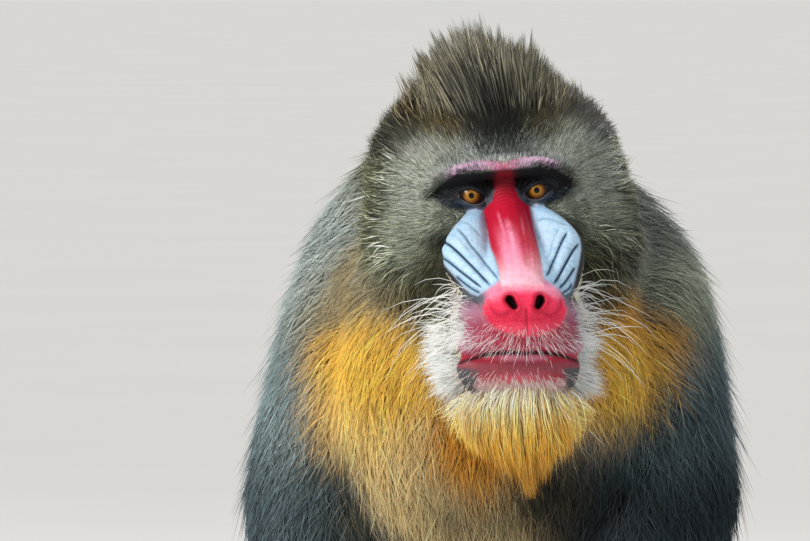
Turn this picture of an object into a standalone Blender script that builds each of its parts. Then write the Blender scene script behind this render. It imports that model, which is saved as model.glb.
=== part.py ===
"""A seated adult male mandrill at life size, out to the tips of its coat.

Metres, +Z up, the floor at z = 0. The body faces -Y and is the same on both sides of x = 0; the head is
turned towards +X, which is the animal's left. Every limb, muscle and digit is a tube through a few
elliptical sections. The tubes are melted into one body, that body is thinned to a few thousand faces, and the
named pieces are then taken out of it one by one, with a thin gap left round each.
"""

import math

import bmesh
import bpy
from mathutils import Matrix, Vector

MM = 0.001
TUBE_SIDES = 28
TUBE_STEPS = 5  # rings between two named sections
BALL_SEGMENTS = (32, 20)
EYE_SEGMENTS = (14, 9)
CAP_DEPTH = 0.9  # a round end's depth, in radii
CAP_RINGS = (0.0, 0.45, 0.78, 0.95)  # how far along a round end its rings lie, as a share of its depth
SLEEVE_SIDES = 12

COARSE_VOXEL = 4.5 * MM
COARSE_SMOOTH = 16
FINE_VOXEL = 2.6 * MM
FINE_SMOOTH = 4
BODY_TRIANGLES = 4100
GAP = 0.4 * MM  # left between two pieces
FLOOR_TRIM = 1.2 * MM  # cut off what touches the floor, to leave small flats
SLAB = Vector((2.0, 2.0, 0.2))  # wider than the animal, and what shaves it

# The head's own frame: origin midway between the eyes, +X the animal's left, -Y forward, +Z up.
EYES_AT = Vector((0.036, -0.130, 0.576))
HEAD_TURN = math.radians(16.5)
HEAD_TILT = math.radians(4.5)
EYE_SPACING = 46 * MM
EYE_RADIUS = 10.5 * MM
EYE_INSET = 5.0 * MM  # an eyeball's centre lies this far behind the head's origin
EYE_CLEARANCE = 0.35 * MM

SHIFT = Vector((0.0, -0.0072, 0.0))  # centres the whole animal's box on the origin

FUR_GREY = (0.13, 0.14, 0.15, 1)
FUR_OLIVE = (0.19, 0.18, 0.13, 1)
FUR_GOLD = (0.80, 0.47, 0.12, 1)
FACE_RED = (0.75, 0.07, 0.12, 1)
SKIN_DARK = (0.07, 0.06, 0.06, 1)
SKIN_PINK = (0.45, 0.28, 0.27, 1)
EYE_AMBER = (0.45, 0.22, 0.03, 1)
COAT_ROUGHNESS = 0.8
EYE_ROUGHNESS = 0.1


def head_frame():
    turn = Matrix.Rotation(HEAD_TURN, 4, "Z") @ Matrix.Rotation(-HEAD_TILT, 4, "Y")
    return Matrix.Translation(EYES_AT) @ turn


def catmull(values, at):
    """The point at a place along a list of vectors, on a smooth curve through them."""
    i = min(int(at), len(values) - 2)
    t = at - i
    before = values[max(i - 1, 0)]
    start, end = values[i], values[i + 1]
    after = values[min(i + 2, len(values) - 1)]
    return (
        start
        + (end - before) * (0.5 * t)
        + (before * 2 - start * 5 + end * 4 - after) * (0.5 * t * t)
        + (start * 3 - end * 3 + after - before) * (0.5 * t**3)
    )


class Clay:
    """Closed shapes gathered in one bmesh, to be melted together."""

    def __init__(self):
        self.bm = bmesh.new()

    def ball(self, centre, radii, frame=None):
        """An egg of the three radii."""
        place = (frame or Matrix()) @ Matrix.Translation(Vector(centre)) @ Matrix.Diagonal((*radii, 1))
        self.sphere(1, BALL_SEGMENTS, place)

    def sphere(self, radius, segments, place):
        around, along = segments
        bmesh.ops.create_uvsphere(self.bm, u_segments=around, v_segments=along, radius=radius, matrix=place)

    def tube(self, sections, across=(1, 0, 0), frame=None):
        """A round-ended tube. A section is (x, y, z, half width, half height), the width along across."""
        frame = frame or Matrix()
        across = Vector(across)
        centres = [Vector(s[:3]) for s in sections]
        sizes = [Vector((s[3], s[4], 0)) for s in sections]
        places = [k / TUBE_STEPS for k in range((len(sections) - 1) * TUBE_STEPS + 1)]
        line = [(catmull(centres, at), catmull(sizes, at)) for at in places]
        first = self.round_end(*line[0], outward=line[0][0] - line[1][0])
        last = self.round_end(*line[-1], outward=line[-1][0] - line[-2][0])
        line = first[::-1] + line[1:-1] + last
        rings = []
        for k, (centre, size) in enumerate(line):
            ahead = (line[min(k + 1, len(line) - 1)][0] - line[max(k - 1, 0)][0]).normalized()
            side = (across - ahead * ahead.dot(across)).normalized()
            rings.append(self.ring(TUBE_SIDES, centre, side * size.x, ahead.cross(side) * size.y, frame))
        self.skin(rings)

    @staticmethod
    def round_end(centre, size, outward):
        """The rings of a domed end, from its foot to its small flat top."""
        reach = outward.normalized() * (CAP_DEPTH * min(size.x, size.y))
        return [(centre + reach * share, size * math.sqrt(1 - share**2)) for share in CAP_RINGS]

    def ring(self, count, centre, side, up, frame, turn=0.0):
        """Points round an ellipse whose half axes are side and up."""
        angles = [math.tau * (j + turn) / count for j in range(count)]
        return [self.bm.verts.new(frame @ (centre + side * math.cos(a) + up * math.sin(a))) for a in angles]

    def skin(self, rings):
        """Faces between neighbouring rings, and one over each end."""
        count = len(rings[0])
        for lower, upper in zip(rings, rings[1:]):
            for j in range(count):
                following = (j + 1) % count
                self.bm.faces.new((lower[j], lower[following], upper[following], upper[j]))
        self.bm.faces.new(reversed(rings[0]))
        self.bm.faces.new(rings[-1])

    def object(self, name):
        bmesh.ops.recalc_face_normals(self.bm, faces=self.bm.faces)
        mesh = bpy.data.meshes.new(name)
        self.bm.to_mesh(mesh)
        self.bm.free()
        made = bpy.data.objects.new(name, mesh)
        bpy.context.scene.collection.objects.link(made)
        return made


def trunk(clay):
    """Rump, belly, chest and the high shoulders with their cape, from the floor up to the neck."""
    clay.tube(
        [
            (0, 0.150, 0.068, 0.106, 0.084),
            (0, 0.142, 0.125, 0.124, 0.108),
            (0, 0.122, 0.200, 0.128, 0.120),
            (0, 0.096, 0.285, 0.130, 0.122),
            (0, 0.070, 0.365, 0.143, 0.128),
            (0, 0.050, 0.435, 0.159, 0.128),
            (0, 0.040, 0.490, 0.159, 0.114),
            (0, 0.026, 0.532, 0.142, 0.097),
            (0.004, 0.004, 0.562, 0.117, 0.077),
        ]
    )
    clay.tube([(0, 0.150, 0.052, 0.094, 0.062), (0, 0.188, 0.072, 0.080, 0.062)])
    clay.tube(
        [
            (0, -0.010, 0.330, 0.095, 0.050),
            (0.006, -0.040, 0.410, 0.116, 0.070),
            (0.016, -0.055, 0.480, 0.110, 0.075),
        ]
    )
    clay.tube(
        [
            (0, 0.010, 0.495, 0.125, 0.085),
            (0.012, -0.035, 0.520, 0.112, 0.088),
            (0.022, -0.075, 0.530, 0.095, 0.085),
        ]
    )


def arm(clay, side):
    """Shoulder to wrist. The elbow is drawn in before the belly and the palm is on the floor in front."""
    clay.tube(
        [
            (side * 0.094, 0.030, 0.470, 0.071, 0.076),
            (side * 0.111, 0.020, 0.415, 0.063, 0.071),
            (side * 0.127, 0.002, 0.345, 0.057, 0.062),
            (side * 0.122, -0.020, 0.290, 0.050, 0.055),
            (side * 0.109, -0.038, 0.243, 0.045, 0.049),
        ]
    )
    clay.tube(
        [
            (side * 0.109, -0.036, 0.246, 0.044, 0.048),
            (side * 0.104, -0.066, 0.186, 0.044, 0.046),
            (side * 0.098, -0.102, 0.122, 0.038, 0.040),
            (side * 0.092, -0.133, 0.068, 0.028, 0.028),
            (side * 0.090, -0.150, 0.040, 0.023, 0.020),
        ]
    )


FINGER_SPREAD = (-0.0285, -0.0095, 0.0095, 0.0285)
FINGER_LENGTHS = (0.056, 0.068, 0.070, 0.060)  # from the thumb's side outwards


def hand(clay, side):
    """A palm flat on the floor with four long fingers and a short thumb on its inner side."""
    clay.tube(
        [
            (side * 0.092, -0.148, 0.034, 0.022, 0.017),
            (side * 0.091, -0.172, 0.0170, 0.030, 0.0150),
            (side * 0.090, -0.196, 0.0115, 0.035, 0.0120),
            (side * 0.090, -0.208, 0.0100, 0.034, 0.0105),
        ]
    )
    for offset, length in zip(FINGER_SPREAD, FINGER_LENGTHS):
        x = 0.090 + offset
        tip = 0.090 + offset * 1.30
        clay.tube(
            [
                (side * x, -0.202, 0.0110, 0.0084, 0.0100),
                (side * (x + tip) / 2, -0.206 - length * 0.42, 0.0165, 0.0074, 0.0080),
                (side * (tip * 0.7 + x * 0.3), -0.206 - length * 0.74, 0.0090, 0.0072, 0.0080),
                (side * tip, -0.206 - length * 0.96, 0.0062, 0.0064, 0.0068),
            ]
        )
    clay.tube(
        [
            (side * 0.072, -0.166, 0.018, 0.0090, 0.0100),
            (side * 0.056, -0.186, 0.0105, 0.0078, 0.0085),
            (side * 0.047, -0.206, 0.0065, 0.0066, 0.0070),
        ]
    )


def leg(clay, side):
    """Hip to ankle, with the knee drawn up and out to the side."""
    clay.tube(
        [
            (side * 0.066, 0.128, 0.108, 0.086, 0.090),
            (side * 0.115, 0.080, 0.138, 0.079, 0.083),
            (side * 0.170, 0.020, 0.170, 0.065, 0.068),
            (side * 0.212, -0.030, 0.193, 0.053, 0.056),
            (side * 0.227, -0.052, 0.196, 0.045, 0.048),
        ]
    )
    clay.tube(
        [
            (side * 0.227, -0.050, 0.194, 0.045, 0.048),
            (side * 0.224, -0.068, 0.150, 0.045, 0.050),
            (side * 0.214, -0.092, 0.102, 0.038, 0.044),
            (side * 0.203, -0.110, 0.058, 0.028, 0.031),
            (side * 0.199, -0.117, 0.034, 0.023, 0.024),
        ]
    )


TOE_SPREAD = (-0.0270, -0.0090, 0.0090, 0.0265)
TOE_LENGTHS = (0.050, 0.058, 0.056, 0.047)  # from the great toe's side outwards


def foot(clay, side):
    """A long narrow sole flat on the floor, four toes, and a great toe that stands off the inner side."""
    clay.tube(
        [
            (side * 0.197, -0.092, 0.0180, 0.021, 0.0190),
            (side * 0.199, -0.125, 0.024, 0.024, 0.022),
            (side * 0.202, -0.165, 0.0180, 0.029, 0.0180),
            (side * 0.206, -0.205, 0.0125, 0.034, 0.0130),
            (side * 0.207, -0.222, 0.0105, 0.033, 0.0112),
        ]
    )
    for offset, length in zip(TOE_SPREAD, TOE_LENGTHS):
        x = 0.207 + offset
        tip = 0.210 + offset * 1.22
        clay.tube(
            [
                (side * x, -0.218, 0.0110, 0.0084, 0.0100),
                (side * (x + tip) / 2, -0.222 - length * 0.45, 0.0155, 0.0074, 0.0080),
                (side * (tip * 0.7 + x * 0.3), -0.222 - length * 0.76, 0.0085, 0.0074, 0.0080),
                (side * tip, -0.222 - length * 0.96, 0.0064, 0.0066, 0.0070),
            ]
        )
    clay.tube(
        [
            (side * 0.184, -0.148, 0.018, 0.0120, 0.0120),
            (side * 0.168, -0.176, 0.0100, 0.0100, 0.0102),
            (side * 0.158, -0.202, 0.0078, 0.0084, 0.0084),
        ]
    )


def tail(clay):
    """A short stump, held up."""
    clay.tube(
        [
            (0, 0.228, 0.116, 0.024, 0.022),
            (0, 0.258, 0.134, 0.019, 0.018),
            (0, 0.280, 0.164, 0.015, 0.015),
            (0, 0.288, 0.196, 0.010, 0.010),
        ]
    )


def scaled(points):
    """Sections or points given in millimetres, in metres."""
    return [tuple(value * MM for value in point) for point in points]


def head_coat(clay, frame):
    """The fur of the crown, brow, cheeks and throat."""
    for centre, radii in (
        ((0, 79, 2), (95, 74, 86)),
        ((0, 62, 30), (66, 58, 46)),
        ((0, 96, -34), (84, 70, 74)),
        ((0, 58, -98), (68, 58, 58)),
    ):
        clay.ball(*scaled((centre, radii)), frame)
    for side in (1, -1):
        clay.ball(*scaled(((side * 52, 57, -36), (55, 55, 72))), frame)
        clay.ball(*scaled(((side * 42, 47, 10), (48, 44, 44))), frame)


def crest(clay, frame):
    """The fan of long hair that stands up on the crown."""
    sections = [(-4, 56, 50, 66, 40), (-6, 54, 78, 60, 33), (-8, 54, 102, 45, 21), (-9, 56, 118, 26, 10)]
    clay.tube(scaled(sections), frame=frame)


def beard(clay, frame):
    """The pointed beard under the chin and the pale tufts at the sides of the jaw."""
    sections = [
        (0, -46, -132, 46, 30),
        (1, -50, -158, 38, 24),
        (3, -48, -184, 25, 17),
        (4, -46, -206, 10, 8),
    ]
    clay.tube(scaled(sections), frame=frame)
    for side in (1, -1):
        clay.ball(*scaled(((side * 43, -16, -108), (20, 36, 31))), frame)


def face(clay, frame):
    """Brow, muzzle with its two swollen ridges, nose, lips and chin, all bare or short-haired."""
    brow = [(-50, 14, 7, 8, 9), (-27, -1, 17, 8, 9), (0, -5, 18, 8, 9)]
    brow += [(-x, y, z, width, height) for x, y, z, width, height in brow[1::-1]]
    bridge = [(0, 10, 4, 11, 14), (0, -8, -16, 13, 14), (0, -42, -41, 18, 17), (0, -72, -61, 25, 17)]
    jaws = [(0, 10, -52, 48, 42), (0, -22, -72, 44, 36), (0, -48, -92, 41, 30), (0, -58, -104, 39, 26)]
    nose = [(-17, -79, -76, 16, 16), (0, -84, -75, 15, 16), (17, -79, -76, 16, 16)]
    upper_lip = [(0, -72, -84, 27, 19), (0, -68, -98, 36, 20), (0, -62, -104, 41, 20)]
    chin = [(0, -62, -115, 40, 20), (0, -60, -126, 36, 20), (0, -50, -134, 30, 18)]
    for sections in (bridge, jaws, upper_lip, chin):
        clay.tube(scaled(sections), frame=frame)
    for sections in (brow, nose):
        clay.tube(scaled(sections), across=(0, 0, 1), frame=frame)
    for side in (1, -1):
        clay.ball(*scaled(((side * 24, 14, 0), (21, 15, 15))), frame)
        ridge = [
            (side * 20, 0, -15, 8, 8),
            (side * 27, -12, -27, 14, 14),
            (side * 32, -28, -41, 18, 17),
            (side * 29, -50, -56, 15, 15),
            (side * 22, -68, -67, 10, 11),
        ]
        clay.tube(scaled(ridge), frame=frame)


def ear(clay, side, frame):
    """The shell of an ear, lying back in the fur of the head's side."""
    sections = [(side * 84, 84, -16, 9, 13), (side * 90, 90, 0, 8, 18), (side * 90, 95, 16, 7, 14)]
    clay.tube(scaled(sections), frame=frame)


def applied(obj, kind, **settings):
    """The object, its mesh replaced by what a modifier makes of it."""
    modifier = obj.modifiers.new(kind.title(), kind)
    for name, value in settings.items():
        setattr(modifier, name, value)
    bpy.context.view_layer.update()
    shown = obj.evaluated_get(bpy.context.evaluated_depsgraph_get())
    mesh = bpy.data.meshes.new_from_object(shown)
    obj.modifiers.clear()
    obj.data = mesh
    return obj


def melted(clay, name, voxel, smooth):
    """The clay's shapes as one closed skin."""
    made = clay.object(name)
    applied(made, "REMESH", mode="VOXEL", voxel_size=voxel)
    return applied(made, "SMOOTH", factor=0.5, iterations=smooth)


def whole_body(frame):
    """The animal but for its eyes, as one thinned closed mesh. The large masses are melted first."""
    masses = Clay()
    trunk(masses)
    head_coat(masses, frame)
    crest(masses, frame)
    for side in (1, -1):
        arm(masses, side)
        leg(masses, side)
    soft = melted(masses, "masses", COARSE_VOXEL, COARSE_SMOOTH)
    clay = Clay()
    clay.bm.from_mesh(soft.data)
    bpy.data.objects.remove(soft)
    tail(clay)
    beard(clay, frame)
    face(clay, frame)
    for side in (1, -1):
        hand(clay, side)
        foot(clay, side)
        ear(clay, side, frame)
    body = melted(clay, "body", FINE_VOXEL, FINE_SMOOTH)
    applied(body, "TRIANGULATE")
    return applied(body, "DECIMATE", ratio=BODY_TRIANGLES / len(body.data.polygons))


def cutter(name, clay):
    made = clay.object(name)
    made.hide_render = True
    made.display_type = "WIRE"
    return made


class Block:
    """A box that stands on a plane at its foot and reaches ahead, (width, height, depth) in size."""

    def __init__(self, foot, ahead, size, frame=None):
        self.foot = Vector(foot)
        self.ahead = Vector(ahead).normalized()
        self.size = Vector(size)
        self.frame = frame or Matrix()

    def solid(self, grow):
        clay = Clay()
        side = (Vector((1, 0, 0)) - self.ahead * self.ahead.x).normalized()
        turn = Matrix((side, self.ahead.cross(side), self.ahead)).transposed().to_4x4()
        middle = Matrix.Translation(self.foot + self.ahead * (self.size.z / 2))
        width, height, depth = (length + 2 * grow for length in self.size)
        place = self.frame @ middle @ turn @ Matrix.Diagonal((width, height, depth, 1))
        bmesh.ops.create_cube(clay.bm, size=1, matrix=place)
        return cutter("block", clay)


class Sleeve:
    """A sleeve of flat-ended tube round a limb. A section is (x, y, z, radius)."""

    def __init__(self, sections):
        self.sections = sections

    def solid(self, grow):
        clay = Clay()
        points = [Vector(s[:3]) for s in self.sections]
        last = len(points) - 1
        rings = []
        for k, section in enumerate(self.sections):
            ahead = (points[min(k + 1, last)] - points[max(k - 1, 0)]).normalized()
            side = (Vector((0, 1, 0)) - ahead * ahead.y).normalized()
            up = ahead.cross(side)
            centre = points[k] + ahead * (grow * ((k == last) - (k == 0)))
            radius = section[3] + grow
            rings.append(clay.ring(SLEEVE_SIDES, centre, side * radius, up * radius, Matrix(), turn=0.5))
        clay.skin(rings)
        bmesh.ops.triangulate(clay.bm, faces=clay.bm.faces, quad_method="FIXED")
        return cutter("sleeve", clay)


def limb_regions(word, side):
    """The regions of one side's arm and leg. The outermost are taken first."""
    upper_arm = [
        (side * 0.084, 0.022, 0.478, 0.050),
        (side * 0.104, 0.020, 0.430, 0.072),
        (side * 0.123, 0.002, 0.345, 0.072),
        (side * 0.119, -0.021, 0.285, 0.066),
        (side * 0.107, -0.042, 0.218, 0.057),
    ]
    wrist = Block((side * 0.090, -0.143, 0.046), (0, -0.62, -0.78), (0.112, 0.190, 0.16))
    ankle = Block((side * 0.200, -0.115, 0.048), (0, -0.12, -0.99), (0.130, 0.380, 0.08))
    elbow = Block((side * 0.106, -0.044, 0.232), (0, -0.45, -0.89), (0.100, 0.100, 0.26))
    knee = Block((side * 0.226, -0.078, 0.172), (0, -0.28, -0.96), (0.130, 0.112, 0.16))
    hip = Block((side * 0.135, 0.064, 0.140), (side * 0.80, -0.60, 0), (0.22, 0.226, 0.21))
    return [
        (f"hand_{word}", wrist, SKIN_DARK),
        (f"foot_{word}", ankle, SKIN_DARK),
        (f"forearm_{word}", elbow, FUR_GREY),
        (f"shank_{word}", knee, FUR_GREY),
        (f"upper_arm_{word}", Sleeve(upper_arm), FUR_GREY),
        (f"thigh_{word}", hip, FUR_GREY),
    ]


def head_regions(frame):
    """The regions of the head's own pieces, given in millimetres in the head's frame."""

    def region(foot, ahead, size):
        foot, size = scaled((foot, size))
        return Block(foot, ahead, size, frame)

    return [
        ("ear_left", region((88, 90, 0), (0.97, 0.24, 0), (60, 70, 30)), SKIN_PINK),
        ("ear_right", region((-88, 90, 0), (-0.97, 0.24, 0), (60, 70, 30)), SKIN_PINK),
        ("crest", region((-4, 46, 84), (0, 0, 1), (160, 120, 50)), FUR_OLIVE),
        ("beard", region((0, -46, -143), (0, 0.05, -1), (130, 74, 90)), FUR_GOLD),
        ("muzzle", region((0, -4, -72), (0, -0.99, -0.12), (132, 158, 120)), FACE_RED),
    ]


def trunk_regions():
    """The regions that leave the trunk when they are taken."""
    return [
        ("tail", Block((0, 0.258, 0.136), (0, 0.80, 0.60), (0.05, 0.10, 0.12)), FUR_GREY),
        ("head", Block((0.026, -0.035, 0.545), (0.06, -0.86, 0.50), (0.44, 0.42, 0.26)), FUR_OLIVE),
        ("neck", Block((0, -0.010, 0.478), (0, -0.58, 0.81), (0.46, 0.40, 0.26)), FUR_GREY),
    ]


def painted(obj, name, colour, roughness):
    material = bpy.data.materials.new(name)
    material.use_nodes = True
    shader = material.node_tree.nodes["Principled BSDF"]
    shader.inputs["Base Color"].default_value = colour
    shader.inputs["Roughness"].default_value = roughness
    shader.inputs["Metallic"].default_value = 0
    obj.data.materials.clear()
    obj.data.materials.append(material)


def boolean(obj, operation, tool):
    """The object, cut or kept by the tool, which is then done with."""
    applied(obj, "BOOLEAN", operation=operation, solver="EXACT", object=tool)
    bpy.data.objects.remove(tool)
    return obj


def taken(body, name, region):
    """A piece of its own from what lies in the region, which leaves the body."""
    piece = bpy.data.objects.new(name, body.data.copy())
    bpy.context.scene.collection.objects.link(piece)
    boolean(piece, "INTERSECT", region.solid(0))
    boolean(body, "DIFFERENCE", region.solid(GAP))
    return piece


def eyes(body, frame):
    """The eyeballs, set into round sockets in the body."""
    for word, side in (("left", 1), ("right", -1)):
        centre = (side * EYE_SPACING / 2, EYE_INSET, 0)
        place = frame @ Matrix.Translation(Vector(centre)) @ Matrix.Rotation(math.pi / 2, 4, "X")
        ball, room = Clay(), Clay()
        ball.sphere(EYE_RADIUS, EYE_SEGMENTS, place)
        room.sphere(EYE_RADIUS + EYE_CLEARANCE, EYE_SEGMENTS, place)
        painted(ball.object(f"eye_{word}"), f"eye_{word}", EYE_AMBER, EYE_ROUGHNESS)
        boolean(body, "DIFFERENCE", cutter("socket", room))


def floor_trim():
    """A slab whose top shaves what touches the floor, to small flats at one level."""
    clay = Clay()
    place = Matrix.Translation((0, 0, FLOOR_TRIM - SLAB.z / 2)) @ Matrix.Diagonal((*SLAB, 1))
    bmesh.ops.create_cube(clay.bm, size=1, matrix=place)
    return cutter("floor_trim", clay)


def main():
    for obj in list(bpy.data.objects):
        bpy.data.objects.remove(obj)
    frame = head_frame()
    body = whole_body(frame)
    boolean(body, "DIFFERENCE", floor_trim())
    eyes(body, frame)
    listed = limb_regions("left", 1) + limb_regions("right", -1) + head_regions(frame) + trunk_regions()
    for name, region, colour in listed:
        painted(taken(body, name, region), name, colour, COAT_ROUGHNESS)
    body.name = "trunk"
    painted(body, "trunk", FUR_GREY, COAT_ROUGHNESS)
    for obj in bpy.data.objects:
        obj.location = obj.location + SHIFT - Vector((0, 0, FLOOR_TRIM))


main()
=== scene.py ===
"""The looks of a seated adult male mandrill: one skin, its eyes, ears and nails, and a coat of solid tufts.

Metres, +Z up. The body faces -Y and +X is the animal's left. The head has a frame of its own, in millimetres,
its origin midway between the eyes.
"""

import math

import bmesh
import bpy
import numpy as np
from mathutils import Matrix, Vector
from mathutils.bvhtree import BVHTree
from mathutils.kdtree import KDTree


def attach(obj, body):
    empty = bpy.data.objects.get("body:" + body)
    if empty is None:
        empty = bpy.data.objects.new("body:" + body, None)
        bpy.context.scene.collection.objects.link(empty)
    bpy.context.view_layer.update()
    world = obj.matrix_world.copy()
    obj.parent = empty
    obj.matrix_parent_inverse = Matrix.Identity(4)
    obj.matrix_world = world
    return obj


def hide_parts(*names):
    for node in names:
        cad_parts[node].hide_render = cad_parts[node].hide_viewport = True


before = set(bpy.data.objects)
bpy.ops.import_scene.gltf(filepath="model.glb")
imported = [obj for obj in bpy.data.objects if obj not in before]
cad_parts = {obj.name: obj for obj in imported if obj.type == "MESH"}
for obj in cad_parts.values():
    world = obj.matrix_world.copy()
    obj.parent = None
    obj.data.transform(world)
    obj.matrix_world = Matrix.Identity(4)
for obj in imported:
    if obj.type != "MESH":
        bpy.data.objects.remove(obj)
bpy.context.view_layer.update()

MM = 0.001
SIDES = (("left", 1), ("right", -1))

# The head's own frame.
EYES_AT = Vector((0.036, -0.1372, 0.5748))
HEAD_TURN = math.radians(16.5)
HEAD_TILT = math.radians(4.5)
HEAD = Matrix.Translation(EYES_AT) @ Matrix.Rotation(HEAD_TURN, 4, "Z") @ Matrix.Rotation(-HEAD_TILT, 4, "Y")
HEAD_MM = HEAD @ Matrix.Diagonal((MM, MM, MM, 1))

EYE_X, EYE_Y = 23.0, 5.0  # an eyeball's centre, beside and behind the head's origin
EYE_RADIUS = 10.5

# The whole animal was centred and its soles trimmed after it was drawn.
DRAWN = Matrix.Translation((0, -0.0072, -0.0012))


# --- Clay: closed shapes that are melted together ---


def catmull(values, at):
    """The point at a place along a list of vectors, on a smooth curve through them."""
    i = min(int(at), len(values) - 2)
    t = at - i
    before = values[max(i - 1, 0)]
    start, end = values[i], values[i + 1]
    after = values[min(i + 2, len(values) - 1)]
    return (
        start
        + (end - before) * (0.5 * t)
        + (before * 2 - start * 5 + end * 4 - after) * (0.5 * t * t)
        + (start * 3 - end * 3 + after - before) * (0.5 * t**3)
    )


class Clay:
    """Closed shapes gathered in one bmesh, to be melted together."""

    TUBE_SIDES = 32
    TUBE_STEPS = 6
    CAP_RINGS = (0.0, 0.45, 0.78, 0.95)

    def __init__(self, place):
        self.bm = bmesh.new()
        self.place = place

    def ball(self, centre, radii, around=40, along=26):
        place = self.place @ Matrix.Translation(Vector(centre)) @ Matrix.Diagonal((*radii, 1))
        bmesh.ops.create_uvsphere(self.bm, u_segments=around, v_segments=along, radius=1, matrix=place)

    def tube(self, sections, across=(1, 0, 0)):
        """A round-ended tube. A section is (x, y, z, half width, half height), the width along across."""
        across = Vector(across)
        centres = [Vector(s[:3]) for s in sections]
        sizes = [Vector((s[3], s[4], 0)) for s in sections]
        places = [k / self.TUBE_STEPS for k in range((len(sections) - 1) * self.TUBE_STEPS + 1)]
        line = [(catmull(centres, at), catmull(sizes, at)) for at in places]
        first = self.round_end(*line[0], outward=line[0][0] - line[1][0])
        last = self.round_end(*line[-1], outward=line[-1][0] - line[-2][0])
        line = first[::-1] + line[1:-1] + last
        rings = []
        for k, (centre, size) in enumerate(line):
            ahead = (line[min(k + 1, len(line) - 1)][0] - line[max(k - 1, 0)][0]).normalized()
            side = (across - ahead * ahead.dot(across)).normalized()
            rings.append(self.ring(centre, side * size.x, ahead.cross(side) * size.y))
        for lower, upper in zip(rings, rings[1:]):
            for j in range(self.TUBE_SIDES):
                following = (j + 1) % self.TUBE_SIDES
                self.bm.faces.new((lower[j], lower[following], upper[following], upper[j]))
        self.bm.faces.new(reversed(rings[0]))
        self.bm.faces.new(rings[-1])

    def round_end(self, centre, size, outward):
        reach = outward.normalized() * (0.9 * min(size.x, size.y))
        return [(centre + reach * share, size * math.sqrt(1 - share**2)) for share in self.CAP_RINGS]

    def ring(self, centre, side, up):
        angles = [math.tau * j / self.TUBE_SIDES for j in range(self.TUBE_SIDES)]
        spots = [centre + side * math.cos(a) + up * math.sin(a) for a in angles]
        return [self.bm.verts.new(self.place @ spot) for spot in spots]

    def melted(self, name, voxel, smooth, under=()):
        """The shapes, and the objects under them, as one closed skin."""
        for obj in under:
            self.bm.from_mesh(obj.data)
            bpy.data.objects.remove(obj)
        bmesh.ops.recalc_face_normals(self.bm, faces=self.bm.faces)
        made = from_bmesh(name, self.bm)
        applied(made, "REMESH", mode="VOXEL", voxel_size=voxel)
        return applied(made, "SMOOTH", factor=0.5, iterations=smooth)


def new_object(name, data):
    made = bpy.data.objects.new(name, data)
    bpy.context.scene.collection.objects.link(made)
    return made


def from_bmesh(name, bm):
    mesh = bpy.data.meshes.new(name)
    bm.to_mesh(mesh)
    bm.free()
    return new_object(name, mesh)


def applied(obj, kind, **settings):
    """The object, its mesh replaced by what a modifier makes of it."""
    modifier = obj.modifiers.new(kind.title(), kind)
    for name, value in settings.items():
        setattr(modifier, name, value)
    bpy.context.view_layer.update()
    shown = obj.evaluated_get(bpy.context.evaluated_depsgraph_get())
    mesh = bpy.data.meshes.new_from_object(shown)
    obj.modifiers.clear()
    obj.data = mesh
    return obj


# --- Numbers over a mesh ---


def read(rows, field):
    """A field of three numbers for each row, as an array."""
    flat = np.empty(len(rows) * 3, np.float32)
    rows.foreach_get(field, flat)
    return flat.reshape(-1, 3).astype(float)


def points_of(mesh):
    return read(mesh.vertices, "co")


def normals_of(mesh):
    return read(mesh.vertex_normals, "vector")


def columns(*parts):
    """Numbers side by side, with single ones repeated."""
    return np.stack(np.broadcast_arrays(*parts), -1).astype(float)


def move_points(mesh, points):
    mesh.vertices.foreach_set("co", points.astype(np.float32).ravel())
    mesh.update()


def moved(matrix, points):
    """Points (n, 3) taken through a 4 x 4 matrix."""
    array = np.array(matrix)
    return points @ array[:3, :3].T + array[:3, 3]


def unit(vectors):
    return vectors / np.maximum(np.linalg.norm(vectors, axis=-1, keepdims=True), 1e-9)


def ease(low, high, value):
    t = np.clip((value - low) / (high - low), 0, 1)
    return t * t * (3 - 2 * t)


def bump(distance, width):
    """1 at no distance, falling smoothly to 0 in about twice the width."""
    return np.exp(-((distance / width) ** 2))


def mix(a, b, share):
    return a + (b - a) * share


FAR = 30.0  # the distance given where a point is nowhere near a line


def near_line(points, line):
    """How far each 2-D or 3-D point is from a polyline, and how far along it the nearest place is, 0 to 1."""
    line = np.array(line, float)
    best = np.full(len(points), FAR)
    along = np.zeros(len(points))
    near = np.nonzero(((points > line.min(0) - FAR / 2) & (points < line.max(0) + FAR / 2)).all(1))[0]
    closest, place = best[near], along[near]
    for k in range(len(line) - 1):
        start, run = line[k], line[k + 1] - line[k]
        from_start = points[near] - start
        t = np.clip(from_start @ run / (run @ run), 0, 1)
        gap = np.sqrt(((from_start - t[:, None] * run) ** 2).sum(1))
        closer = gap < closest
        closest = np.where(closer, gap, closest)
        place = np.where(closer, (k + t) / (len(line) - 1), place)
    best[near], along[near] = closest, place
    return best, along


CURVE_STEPS = 4


def soft_curve(line):
    """More points along a given line, on a smooth curve through it."""
    line = [Vector(p) for p in line]
    places = range((len(line) - 1) * CURVE_STEPS + 1)
    return [tuple(catmull(line, k / CURVE_STEPS)) for k in places]


def set_attribute(mesh, name, kind, values, field):
    """Writes a value for each point of a mesh."""
    made = mesh.attributes.new(name, kind, "POINT")
    made.data.foreach_set(field, np.ascontiguousarray(values, np.float32).ravel())


def set_colours(mesh, name, colours):
    rgba = np.ones((len(colours), 4), np.float32)
    rgba[:, :3] = colours
    set_attribute(mesh, name, "FLOAT_COLOR", rgba, "color")


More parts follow.
